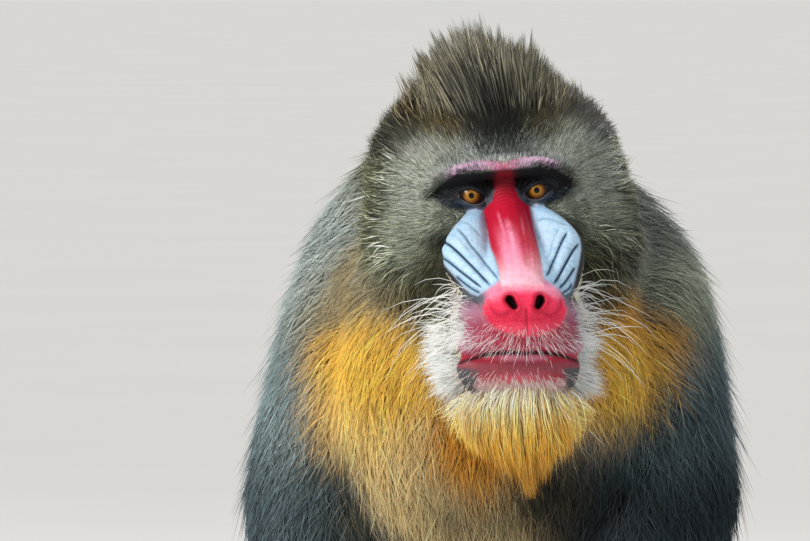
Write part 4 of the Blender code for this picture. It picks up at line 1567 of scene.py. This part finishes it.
def hair_colours(spine, draw):
    """Each spine's colours from root to tip: dark at the root, partly as painted shade deep in the coat, and
    hair to hair lighter or darker.
    """
    count, rings = spine.shape[:2]
    seen = spine + draw.normal(0, 0.005, (count, 1, 3))
    marks = in_blocks(markings, seen.reshape(-1, 3)).reshape(count, rings, 4)
    tone, speckle = marks[..., :3], marks[:, -1, 3]
    light = np.exp(draw.normal(0, 1, count) * 0.38 * speckle)
    light *= np.where(draw.random(count) < 0.20 * speckle, 1.8, 1.0)
    light *= np.where(draw.random(count) < 0.34 * speckle, 0.25, 1.0)
    # Darker towards the root, partly painted shade deep in the coat.
    root_shade_ramp = mix(0.58, 1.1, ease(0, 0.75, np.linspace(0, 1, rings)[None, :]))
    grain = np.exp(draw.normal(0, 1, (count, rings)) * 0.5 * speckle[:, None])
    shade = (light[:, None] * root_shade_ramp * grain)[..., None]
    return np.clip(tone * shade, 0.003, 0.95)


# Pieces of the coat: their zones, the side they lie on, how many tufts and steps, widths in millimetres, how
# far they gather in locks, and a slot name. A piece's row number seeds its random draws.
COAT = (
    ("coat_cheek_left", ("cheek",), 1, 30000, 1, 0.52, 0.1, "coat_olive"),
    ("coat_cheek_right", ("cheek",), -1, 30000, 1, 0.52, 0.1, "coat_olive"),
    ("coat_ruff_left", ("ruff",), 1, 7500, 2, 0.66, 0.3, "coat_olive"),
    ("coat_ruff_right", ("ruff",), -1, 7500, 2, 0.66, 0.3, "coat_olive"),
    ("coat_crown", ("crown",), 0, 7000, 2, 0.66, 0.3, "coat_olive"),
    ("coat_throat", ("sidebeard", "throat"), 0, 1500, 2, 0.9, 0.4, "coat_gold"),
    ("coat_mantle_left", ("mantle",), 1, 11000, 2, 0.76, 0.35, "coat_grey"),
    ("coat_mantle_right", ("mantle",), -1, 11000, 2, 0.76, 0.35, "coat_grey"),
    ("coat_cape", ("cape",), 0, 7500, 2, 1.0, 0.4, "coat_olive"),
    ("coat_chest", ("chest",), 0, 10500, 2, 0.76, 0.35, "coat_gold"),
    ("coat_belly", ("belly",), 0, 3000, 2, 0.95, 0.5, "coat_grey"),
    ("coat_back", ("back", "rump"), 0, 8000, 2, 1.35, 0.45, "coat_grey"),
    ("coat_arm_left", ("arm",), 1, 4700, 2, 1.05, 0.4, "coat_grey"),
    ("coat_arm_right", ("arm",), -1, 4700, 2, 1.05, 0.4, "coat_grey"),
    ("coat_leg_left", ("leg",), 1, 3600, 2, 1.2, 0.45, "coat_grey"),
    ("coat_leg_right", ("leg",), -1, 3600, 2, 1.2, 0.45, "coat_grey"),
    ("coat_hands", ("hand",), 0, 2000, 1, 0.7, 0.2, "coat_grey"),
    ("coat_feet", ("foot",), 0, 2000, 1, 0.7, 0.2, "coat_grey"),
    ("coat_tail", ("tail",), 0, 1000, 2, 1.0, 0.4, "coat_grey"),
)
# How far tufts stray aside, their share of the guides' length, and how many of them stand loose.
FACE_TUFTS = (0.34, 0.7, 0.0)
BODY_TUFTS = (0.38, 1.0, 0.10)


def grow(hide, finish, number, name, zones, side, count, steps, width, lock, slot):
    """One piece of the coat."""
    draw = np.random.default_rng(100 + number)
    here = np.isin(hide.zones, zones)
    if side:
        across = np.where(np.isin(hide.zones, ("cheek", "ruff")), hide.in_head[:, 0], hide.centres[:, 0])
        here &= across * side > 0
    lengths = in_blocks(lie_at, hide.centres[here])[:, 3]
    weights = np.zeros(len(hide.areas))
    weights[here] = hide.areas[here] * hide.furred[here] / np.maximum(lengths, 0.004)
    roots, normals, picks = hide.roots(weights, count, draw)
    on_face = zones == ("cheek",)
    spine, ups = lying_tufts(hide, roots, normals, steps, draw, *(FACE_TUFTS if on_face else BODY_TUFTS))
    spine = gathered(spine, draw, 0.09, lock)
    colours = hair_colours(spine, draw)
    if on_face:
        head = hide.in_head[picks]
        # Painted shade: the coat darkened where it meets the muzzle.
        colours = mix(colours, 0.32 * colours, beside_muzzle(head)[:, None, None])
        colours = mix(colours, np.array(COAT_TONES["black"]), socket_share(head, 5.5)[:, None, None])
    widths = width * MM * draw.uniform(0.7, 1.25, count)
    tufts(name, spine, ups, widths, colours, finish)


# --- The coat that stands free of the skin ---

HEAD_FRONT = np.array(HEAD.to_3x3() @ Vector((0, -1, 0.25)))


def free_tufts(roots, ups, ends, belly, steps):
    """Spines from roots in the world to ends on the head, bowed by millimetres at their middles."""
    share = np.linspace(0, 1, steps + 1)[None, :, None]
    roots = roots - ups * SUNK
    straight = roots[:, None] + (to_world(ends) - roots)[:, None] * share
    spine = straight + (belly * MM)[:, None] * (4 * share * (1 - share))
    return spine, np.repeat(ups[:, None], steps + 1, 1)


def curled(spine, draw, size, turns):
    """Spines with a soft wave that grows towards their ends."""
    count, rings = spine.shape[:2]
    share = np.linspace(0, 1, rings)[None, :, None]
    way = unit(draw.normal(size=(count, 1, 3)))
    phase = draw.uniform(0, math.tau, (count, 1, 1))
    return spine + way * size * share * (np.sin(share * math.tau * turns + phase) - np.sin(phase))


def head_roots(hide, weights, count, draw):
    """Roots on the head: in the world, their normals, and in the head's own millimetres."""
    roots, normals, _ = hide.roots(hide.areas * np.clip(weights, 0, None), count, draw)
    return roots, normals, on_head(roots)


def turned_forward(ups, share):
    """The tufts' normals turned to the head's front, so that they catch its light alike."""
    return unit(ups * share + HEAD_FRONT)


# The crest's outline: sideways and up, on the head.
CREST_TOP = (
    (-88, 44), (-81, 62), (-70, 82), (-60, 96), (-50, 104), (-38, 113), (-24, 124), (-10, 126), (4, 120),
    (14, 113), (24, 110), (34, 111), (41, 99), (50, 87), (62, 75), (70, 67), (82, 51),
)
CREST_TAN = (0.27, 0.24, 0.155)
CREST_PALE = (0.38, 0.35, 0.25)
CREST_DARK = (0.035, 0.034, 0.026)


def crest_piece(hide, finish):
    """The fan of long hair on the crown, in spiky locks."""
    draw = np.random.default_rng(301)
    x, y, z = hide.in_head.T
    weights = ease(44, 62, z) * ease(74, 56, np.abs(x)) * ease(14, 30, y) * ease(104, 84, y)
    roots, normals, here = head_roots(hide, weights, 6500, draw)
    x, y, z = here.T
    count = len(x)
    tall = 0
    for _ in range(3):
        across = x + (0.0115 * x - 0.22) * tall
        tall = np.clip(np.interp(across, *zip(*CREST_TOP)) - z, 15, 62)
    standing = draw.random(count) < 0.42
    reach = np.where(standing, draw.uniform(0.78, 1.04, count), draw.uniform(0.25, 0.85, count))
    reach *= 1 + 0.10 * waves(here * (1, 0.4, 0.4), 9, 31)
    ends = here.copy()
    ends[:, 0] = across + draw.normal(0, 1.5, count)
    ends[:, 1] = y + (54 - y) * 0.3 + draw.normal(0, 3, count)
    ends[:, :2] = mix(here[:, :2], ends[:, :2], np.clip(reach, 0, 1)[:, None])
    ends[:, 2] = z + tall * np.clip(reach, 0.2, 1.06)
    spine, ups = free_tufts(roots, normals, ends, columns(-0.04 * x, -1.5, 1.5), 3)
    pull = gathered(spine, draw, 0.035, 0.9)
    spine = mix(spine, pull, (standing * ease(20, 42, tall))[:, None, None])
    # Pale bands up a tan hair, darker at the middle of the front and over the tips.
    tone = in_blocks(markings, spine[:, 0])[:, None, :3]
    share = np.linspace(0, 1, 4)
    height = mix(z[:, None], ends[:, 2:], share)
    front = (bump(x + 2, 24) * ease(56, 34, y))[:, None] * ease(104, 82, height)
    tan = mix(np.array(CREST_TAN), np.array(CREST_PALE), bump(x + 6, 26)[:, None])[:, None]
    tan = mix(tan, np.array(CREST_DARK), front[..., None])
    pale = np.exp(draw.normal(-0.4, 1.1, (count, 4, 1)))
    pale *= np.interp(share, (0, 0.34, 0.67, 1), (0.3, 0.8, 0.9, 0.2))[:, None]
    banded = mix(tone, tan, np.minimum(share * 2.5, 1)[:, None])
    banded = np.array(COAT_TONES["black"]) + np.clip(pale, 0, 1.8) * banded
    widths = 0.55 * MM * draw.uniform(0.7, 1.3, count)
    piece = tufts("coat_crest", spine, ups, widths, np.clip(banded, 0.004, 0.9), finish)
    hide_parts("crest")


# The beard's shape: height, its middle's sideways and forward place there, half width and half depth.
BEARD_SHAPE = (
    (-138, -2, -46, 62, 30), (-150, -3, -48, 62, 30), (-168, -2, -50, 52, 26), (-186, 0, -50, 36, 20),
    (-200, 2, -49, 22, 13), (-214, 3, -47, 7, 5),
)
# The beard's colours down its height, and of the hairs that run paler through it.
BEARD_RAMP = (
    (-128, (0.95, 0.92, 0.80)), (-140, (0.95, 0.84, 0.56)), (-150, (0.90, 0.64, 0.25)),
    (-162, (0.82, 0.43, 0.065)), (-184, (0.66, 0.29, 0.022)), (-200, (0.44, 0.19, 0.018)),
    (-210, (0.36, 0.17, 0.02)),
)
BEARD_PALE = (0.92, 0.60, 0.20)


def beard_piece(hide, finish):
    """The pointed beard: cream under the lip, golden below, its locks fanning out."""
    draw = np.random.default_rng(302)
    x, y, z = hide.in_head.T
    weights = ease(-128, -136, z + 0.2 * np.maximum(np.abs(x) - 10, 0)) * ease(52, 44, np.abs(x))
    weights *= ease(10, -10, y) * ease(-175, -165, z)
    roots, normals, here = head_roots(hide, weights, 5400, draw)
    x, y, z = here.T
    count = len(x)
    inner = np.clip(1 - np.abs(x) / 46, 0, 1)
    down = draw.uniform(0.0, 1.0, count) * (0.30 + 0.95 * inner)
    down = np.clip(down * (1 + 0.16 * waves(here * (1, 0.3, 0), 8, 33)), 0, 1)
    ends = here.copy()
    ends[:, 2] = np.minimum(z - 12, -142 - 70 * down)
    heights, *shape = zip(*BEARD_SHAPE[::-1])
    middle_x, middle_y, wide, deep = (np.interp(ends[:, 2], heights, column) for column in shape)
    ends[:, 0] = middle_x + np.clip(x / 36, -1, 1) * wide + draw.normal(0, 3, count)
    ends[:, 1] = middle_y + np.clip((y + 46) / 24, -1, 1) * deep
    belly = columns(0.04 * x, np.minimum(y + 45, 0) * 0.25 - 2, 0)
    spine, ups = free_tufts(roots, normals, ends, belly, 4)
    spine = curled(gathered(spine, draw, 0.05, 0.8), draw, 1.7 * MM, 0.8)
    heights, tones = zip(*BEARD_RAMP[::-1])
    along = moved(HEAD_MM.inverted(), spine.reshape(-1, 3))[:, 2] + np.repeat(draw.normal(0, 7, count), 5)
    tones = columns(*(np.interp(along, heights, column) for column in zip(*tones))).reshape(count, -1, 3)
    tones = mix(tones, np.array(BEARD_PALE), 0.5 * (draw.random((count, 1, 1)) < 0.25))
    light = np.exp(draw.normal(0.03, 0.20, (count, 1)))
    light = light * np.interp(np.linspace(0, 1, 5), (0, 0.3, 1), (0.75, 1.0, 1.15))
    light *= np.exp(0.42 * waves(here * (1, 0.5, 0), 5.5, 34))[:, None]
    widths = 0.46 * MM * draw.uniform(0.6, 1.3, count)
    tones = np.clip(tones * light[..., None], 0.004, 0.95)
    piece = tufts("coat_beard", spine, turned_forward(ups, 0.35), widths, tones, finish)
    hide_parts("beard")


FRINGE_WHITE = (0.82, 0.87, 0.83)
FRINGE_GOLD = (0.86, 0.74, 0.48)


def jaw_piece(hide, finish):
    """The white fringe that stands out beside the muzzle and the chin."""
    draw = np.random.default_rng(303)
    x, y, z = hide.in_head.T
    low = ease(-108, -132, z)
    weights = ease(38, 43, np.abs(x) + 6 * low) * ease(-80, -100, z) * ease(-150, -142, z) * (1 + 1.5 * low)
    weights *= ease(-56, -46, y) * ease(20, 0, y) * (1 - bare_muzzle(hide.in_head))
    roots, normals, here = head_roots(hide, weights, 3000, draw)
    x, y, z = here.T
    count = len(x)
    side = np.sign(x)
    low = ease(-96, -140, z)
    long = draw.uniform(8, 27, count) * (1 + 0.4 * low)
    way = columns(side * (1 - 0.15 * low), -0.35, -0.05 - 0.5 * low)
    way = unit(way + draw.normal(0, 0.26, (count, 3)))
    ends = here + way * long[:, None]
    ends[:, 0] = side * np.minimum(np.abs(ends[:, 0]), 74)
    spine, ups = free_tufts(roots, normals, ends, columns(0, -2.0, 1.5 * (1 - low)), 2)
    spine = gathered(spine, draw, 0.12, 0.45)
    golden = ease(-126, -146, z + draw.normal(0, 6, count))
    tone = lay(FRINGE_WHITE, (FRINGE_GOLD, golden))[:, None]
    light = np.exp(draw.normal(0.0, 0.28, (count, 1))) * np.array([[0.6, 1.0, 1.15]])
    widths = 0.44 * MM * draw.uniform(0.6, 1.3, count)
    tone = np.clip(tone * light[..., None], 0.004, 0.95)
    tufts("coat_jaw", spine, turned_forward(ups, 0.4), widths, tone, finish)


# Bristles on the bare muzzle: how many, where (a share for each place), the way they lean at the side and at
# the middle, their lengths, how far they bow, and their colour.
BRISTLES = (
    (
        290, lambda x, z: bump(z + 100, 5) * ease(47, 43, x),
        (1.0, -0.45, -0.45), (0.12, -0.5, -1.0), (8, 14), 2.4, (0.86, 0.82, 0.80),
    ),
    (
        170, lambda x, z: bump(z + 126, 6) * ease(47, 43, x),
        (0.9, -0.5, -0.6), (0.1, -0.6, -0.9), (5, 10), 1.6, (0.82, 0.70, 0.66),
    ),
    (
        300, lambda x, z: ease(31, 38, x) * ease(-66, -74, z) * ease(-108, -98, z),
        (1.0, -0.3, -0.3), (1, -0.3, -0.3), (8, 15), 2.2, (0.84, 0.82, 0.84),
    ),
    (
        90, lambda x, z: bump(z + 92, 4) * ease(34, 24, x),
        (0.9, -0.6, -0.5), (0.2, -0.8, -0.9), (5, 9), 1.5, (0.86, 0.74, 0.74),
    ),
)
WHISKERS = 110
WHISKER_WHITE = (0.86, 0.86, 0.82)


def bristles(hide, draw, muzzle, count, where, outer, inner, lengths, bow, tone):
    """One set of bristles: spines, normals, widths and colours."""
    x, _, z = hide.in_head.T
    roots, normals, here = head_roots(hide, muzzle * where(np.abs(x), z), count, draw)
    share = np.clip(np.abs(here[:, 0]) / 40, 0, 1)
    way = mix(np.array(inner), np.array(outer), share[:, None]) * columns(np.sign(here[:, 0]), 1, 1)
    way = unit(unit(way) + draw.normal(0, 0.2, (count, 3)))
    ends = here + way * draw.uniform(*lengths, count)[:, None]
    spine, ups = free_tufts(roots, normals, ends, columns(0, -bow, 0.8 * bow * share), 4)
    widths = 0.24 * MM * draw.uniform(0.7, 1.15, count)
    return spine, ups, widths, np.array(tone) * np.exp(draw.normal(0, 0.12, (count, 1)))


def whiskers(hide, draw):
    """The long curling whiskers beside the muzzle, as a set."""
    x, y, z = hide.in_head.T
    wide = np.abs(x)
    beside = ease(33, 38, wide) * ease(50, 44, wide) * ease(-60, -68, z) * ease(-112, -98, z)
    roots, normals, here = head_roots(hide, beside * ease(-6, -20, y), WHISKERS, draw)
    way = columns(np.sign(here[:, 0]), draw.uniform(-0.5, 0.0, WHISKERS), draw.uniform(-0.75, 0.45, WHISKERS))
    long = 16 + 46 * draw.random(WHISKERS) ** 2
    ends = here + unit(way) * long[:, None]
    ends[:, 2] -= 0.004 * long**2
    belly = columns(0, 0, 0.18 * long) + draw.normal(0, 0.07, (WHISKERS, 3)) * long[:, None]
    spine, ups = free_tufts(roots, normals, ends, belly, 4)
    widths = 0.46 * MM * draw.uniform(0.7, 1.1, WHISKERS)
    return spine, ups, widths, np.tile(WHISKER_WHITE, (WHISKERS, 1))


def joined(sets):
    """Sets of spines, normals, widths and colours as one."""
    return [np.concatenate(column) for column in zip(*sets)]


def bristle_piece(hide, finish):
    """White bristles on the lips, chin and muzzle sides, and long curling whiskers beside them."""
    draw = np.random.default_rng(304)
    muzzle = bare_muzzle(hide.in_head) * ease(0, -20, hide.in_head[:, 1])
    sets = [bristles(hide, draw, muzzle, *row) for row in BRISTLES]
    sets.append(whiskers(hide, draw))
    spine, ups, widths, tone = joined(sets)
    shade = np.interp(np.linspace(0, 1, 5), (0, 0.3, 1), (0.7, 0.95, 1.05))[None, :, None]
    tone = np.clip(tone[:, None] * shade, 0, 0.95)
    tufts("coat_whiskers", spine, turned_forward(ups, 0.6), widths, tone, finish)


def brow_piece(hide, finish):
    """Short black hair round the eyes and pale hairs along the pink band."""
    draw = np.random.default_rng(305)
    x, y, z = hide.in_head.T
    wide = np.abs(x)
    gap, _ = along_front(hide.in_head, BAND)
    front = ease(26, 20, y)
    lids = np.min([lid_gap(hide.in_head, side)[0] for _, side in SIDES], axis=0)
    dark = socket_share(hide.in_head, 3.5) * ease(2.4, 3.6, lids) * ease(-7, -1, z) * ease(8.5, 11, wide)
    low = socket_share(hide.in_head, 3.0) * ease(2.4, 4.5, lids) * ease(26, 31, wide) * ease(2, -3, z)
    under = socket_share(hide.in_head, 4.0)
    pale = front * (bump(gap - 4.2, 2.0) * ease(10, 15, z) * (1 - under) + 0.22 * bump(gap, 3))
    edge = front * under * bump(gap - 4.2, 1.8) * ease(8.5, 12, wide)
    # How many, where, the way they lean, their lengths, their colour and width.
    kinds = (
        (3000, dark, (0.55, -0.25, 0.7), (3.0, 6.0), (0.016, 0.017, 0.020), 0.55),
        (480, edge, (0.45, -0.2, 0.85), (4.0, 8.5), (0.010, 0.011, 0.012), 0.5),
        (700, low, (0.8, -0.1, -0.25), (3.0, 5.0), (0.028, 0.033, 0.040), 0.6),
        (2600, pale, (0.3, -0.15, 0.95), (3.2, 5.5), (0.50, 0.53, 0.49), 0.55),
    )
    sets = []
    for count, where, (sideways, forward, upward), lengths, tone, width in kinds:
        roots, normals, here = head_roots(hide, where, count, draw)
        way = columns(np.clip(here[:, 0] / 20, -1, 1) * sideways, forward, upward)
        way = unit(way + draw.normal(0, 0.22, (count, 3)))
        ends = here + way * draw.uniform(*lengths, count)[:, None]
        spine, ups = free_tufts(roots, normals, ends, np.zeros((count, 3)), 1)
        light = np.exp(draw.normal(-0.2, 0.9, (count, 1)))
        widths = width * MM * draw.uniform(0.7, 1.2, count)
        sets.append((spine, ups, widths, np.clip(np.array(tone) * light, 0.004, 0.9)))
    spine, ups, widths, tone = joined(sets)
    tone = tone[:, None] * np.array([0.5, 1.1])[None, :, None]
    tufts("coat_brow", spine, ups, widths, tone, finish)


# --- Painting the skin ---


def finished(made, material):
    """An object's mesh, smooth and with one material."""
    made.data.shade_smooth()
    made.data.materials.clear()
    made.data.materials.append(material)


# The skin under the fur takes the coat's colour darkened, as painted shade between the hairs.
UNDER_FUR_SHADE = 0.3  # how light the skin under the fur is, of the coat's colour


def paint(mesh):
    """Writes the skin's colours and shine on its mesh."""
    points = points_of(mesh)
    plain = on_head(points)
    # Painted shade: the coat's colours darkened on the skin under it.
    colours = UNDER_FUR_SHADE * in_blocks(markings, points)[:, :3]
    colours = painted_body(colours, points, normals_of(mesh))
    set_colours(mesh, "paint", painted_face(colours, plain))
    set_attribute(mesh, "shine", "FLOAT", shine_of(plain), "value")


paint(skin.data)
finished(skin, skin_finish())


# --- Growing every piece ---

BALD = ("eye_left", "eye_right", "ear_left", "ear_right", "crest", "beard")


def packed_outline():
    """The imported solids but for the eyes, ears, crest and beard, melted into one outer surface."""
    clay = Clay(Matrix())
    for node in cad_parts:
        if node not in BALD:
            clay.bm.from_mesh(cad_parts[node].data)
    return clay.melted("outline", 4 * MM, 0)


def grow_coat():
    outline = packed_outline()
    hide = Hide(skin, outline)
    bpy.data.objects.remove(outline)
    fur = coat_finish()
    for number, row in enumerate(COAT):
        grow(hide, fur, number, *row)
    for grow_piece in (crest_piece, beard_piece, jaw_piece, bristle_piece, brow_piece):
        grow_piece(hide, fur)


grow_coat()


# --- Eyes ---

GAZE_TURN = math.radians(-4.5)
IRIS_RADIUS, PUPIL_RADIUS = 6.1, 2.0
CORNEA_RISE = 0.9
EYE_DARK = (0.020, 0.010, 0.007)
PUPIL = (0.002, 0.002, 0.002)
AMBER = (0.20, 0.070, 0.008)
LIGHT_AMBER = (0.38, 0.165, 0.018)
PALE_AMBER = (0.50, 0.26, 0.03)
IRIS_RIM = (0.05, 0.016, 0.004)


def painted_eye(points):
    """A dark ball with an amber iris, its fibres, its dark rim and its pupil, with painted shade of the upper
    lid over the iris's top.
    """
    around = np.hypot(points[:, 0], points[:, 1])
    front = points[:, 2] > 0
    angle = np.arctan2(points[:, 1], points[:, 0])
    fibre = np.sin(angle * 37 + 2 * np.sin(angle * 5)) + 0.7 * np.sin(angle * 61 + 1.3)
    amber = lay(
        AMBER,
        (LIGHT_AMBER, 0.35 + 0.25 * fibre),
        (PALE_AMBER, 0.6 * bump(around - 2.6, 0.7)),
        (IRIS_RIM, ease(IRIS_RADIUS - 2.2, IRIS_RADIUS - 0.3, around)),
    )
    # Painted shade: the iris darkened towards its top, under the upper lid.
    amber *= 1 - 0.55 * ease(0.5, 5.0, points[:, 1])[:, None]
    return lay(
        EYE_DARK,
        (amber, ease(IRIS_RADIUS + 0.15, IRIS_RADIUS - 0.35, around) * front),
        (PUPIL, ease(PUPIL_RADIUS + 0.2, PUPIL_RADIUS - 0.2, around) * front),
    )


def eyeball(word, side):
    """One eye: a ball with a slight rise over its iris, looking a little to the animal's right."""
    bm = bmesh.new()
    bmesh.ops.create_uvsphere(bm, u_segments=72, v_segments=54, radius=EYE_RADIUS)
    made = from_bmesh(f"eyeball_{word}", bm)
    points = points_of(made.data)
    around = np.hypot(points[:, 0], points[:, 1])
    points[:, 2] += np.where(points[:, 2] > 0, CORNEA_RISE * ease(IRIS_RADIUS + 0.8, 1.0, around), 0)
    set_colours(made.data, "paint", painted_eye(points))
    facing = Matrix.Rotation(GAZE_TURN, 4, "Z") @ Matrix.Rotation(math.radians(90), 4, "X")
    place = HEAD_MM @ Matrix.Translation((side * EYE_X, EYE_Y, 0)) @ facing
    move_points(made.data, moved(place, points))
    finished(made, eye_finish())
    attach(made, "root")
    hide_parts(f"eye_{word}")


# --- Ears and nails ---

EAR_AT = (85, 88, 0)
EAR_RADII = (8, 12, 19)
EAR_SKIN = (0.19, 0.125, 0.115)
# Painted shade for the ear's hollow and a painted highlight for its rim.
EAR_HOLLOW_SHADE = (0.06, 0.040, 0.040)
EAR_RIM_HIGHLIGHT = (0.29, 0.19, 0.175)
# How far behind a digit's tip its nail starts, its slope in degrees, and its radii.
FINGER_NAIL = (0.0015, 32, (0.0047, 0.0072, 0.0028))
THUMB_NAIL = (0.004, 30, (0.0048, 0.0068, 0.0028))
NAIL_LIFT = 0.0035


def ear(word, side):
    """One ear: a small rounded shell with a rolled rim, lying back in the ruff."""
    clay = Clay(HEAD_MM)
    clay.ball((side * EAR_AT[0], *EAR_AT[1:]), EAR_RADII)
    made = clay.melted(f"ear_skin_{word}", 1.2 * MM, 4)
    points = head_points(made)
    across = (points[:, 1] - EAR_AT[1]) / EAR_RADII[1]
    up = (points[:, 2] - EAR_AT[2]) / EAR_RADII[2]
    out = ease(0, 3, side * points[:, 0] - EAR_AT[0])
    reach = np.hypot(across, up)
    hollow = ease(0.72, 0.35, reach)
    fold = bump(reach - 0.62 - 0.08 * up, 0.07) * ease(-0.5, 0.2, up)
    points[:, 0] -= side * out * (8.5 * hollow + 1.2 * fold)
    move_points(made.data, moved(HEAD_MM, points))
    # Painted shade in the ear's hollow and a painted highlight along its rolled rim.
    coats = ((EAR_HOLLOW_SHADE, out * hollow), (EAR_RIM_HIGHLIGHT, 0.5 * out * bump(reach - 0.8, 0.12)))
    set_colours(made.data, "paint", lay(EAR_SKIN, *coats))
    finished(made, ear_finish())
    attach(made, "root")
    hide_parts(f"ear_{word}")


def nails():
    """Flat nails on every finger and toe, in one piece."""
    clay = Clay(Matrix())
    for _, side in SIDES:
        tips = [(digit(*row, side)[-1], FINGER_NAIL) for row in DIGITS]
        tips += [(tip, THUMB_NAIL) for tip in bare((THUMB[-1], GREAT_TOE[-1]), side)]
        for (x, y, z, _, _), (back, slope, radii) in tips:
            tilt = Matrix.Rotation(math.radians(slope), 4, "X")
            clay.place = Matrix.Translation((x, y - back, z + NAIL_LIFT)) @ tilt
            clay.ball((0, 0, 0), radii, 20, 14)
    made = from_bmesh("nails", clay.bm)
    finished(made, horn_finish())
    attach(made, "root")


for make in (eyeball, ear):
    for word, side in SIDES:
        make(word, side)
nails()


# --- Camera, lights and floor ---

PIXEL = 0.7 * MM  # how much of the face's plane one pixel of the picture shows
PICTURE = (810, 541)
EYES_IN_PICTURE = (504.5, 192.5)
CAMERA_TURN, CAMERA_RISE = math.radians(12), math.radians(3)
CAMERA_REACH = 5.0
SENSOR = 36
FLOOR_REACH = 150


def set_camera():
    """A long lens in front of the animal, set so that the eyes come to their place in the picture."""
    turn, rise = CAMERA_TURN, CAMERA_RISE
    back = Vector((math.sin(turn) * math.cos(rise), -math.cos(turn) * math.cos(rise), math.sin(rise)))
    right = Vector((math.cos(turn), math.sin(turn), 0))
    up = back.cross(right)
    aim = EYES_AT.copy()
    aim -= right * ((EYES_IN_PICTURE[0] - PICTURE[0] / 2) * PIXEL)
    aim -= up * ((PICTURE[1] / 2 - EYES_IN_PICTURE[1]) * PIXEL)
    data = bpy.data.cameras.new("camera")
    data.sensor_width = SENSOR
    data.lens = SENSOR * CAMERA_REACH / (PICTURE[0] * PIXEL)
    data.clip_end = 400
    camera = new_object("camera", data)
    camera.location = aim + back * CAMERA_REACH
    camera.rotation_euler = (-back).to_track_quat("-Z", "Y").to_euler()
    bpy.context.scene.camera = camera


def lamp(name, place, aim, size, power, colour, kind="AREA"):
    """A square lamp, or a sun as wide as an angle."""
    data = bpy.data.lights.new(name, kind)
    if kind == "SUN":
        data.angle = size
    else:
        data.size = size
    data.energy = power
    data.color = colour
    made = new_object(name, data)
    made.location = place
    made.rotation_euler = (Vector(aim) - Vector(place)).to_track_quat("-Z", "Y").to_euler()


def set_studio():
    """A pale floor, soft light from every side and a key from the animal's right."""
    bm = bmesh.new()
    bmesh.ops.create_grid(bm, x_segments=8, y_segments=8, size=FLOOR_REACH)
    floor = from_bmesh("floor", bm)
    floor.data.materials.append(floor_finish())
    world = bpy.data.worlds.new("studio")
    bpy.context.scene.world = world
    world.use_nodes = True
    sky = world.node_tree.nodes["Background"].inputs
    sky["Color"].default_value = (0.95, 0.98, 1.0, 1)
    sky["Strength"].default_value = 0.5
    lamp("key", (-2.4, -2.2, 2.2), (0, -0.05, 0.45), 0.42, 2.9, (1.0, 0.97, 0.93), kind="SUN")
    lamp("fill", (2.2, -2.0, 1.2), (0, -0.05, 0.4), 2.0, 14, (0.93, 0.97, 1.0))
    lamp("rim", (0.4, 1.9, 2.3), (0, 0, 0.5), 1.6, 36, (1.0, 1.0, 1.0))
    bpy.context.scene.view_settings.view_transform = "Standard"


set_camera()
set_studio()


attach(skin, "root")
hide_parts(*[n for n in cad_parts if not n.startswith(("eye", "ear", "crest", "beard"))])
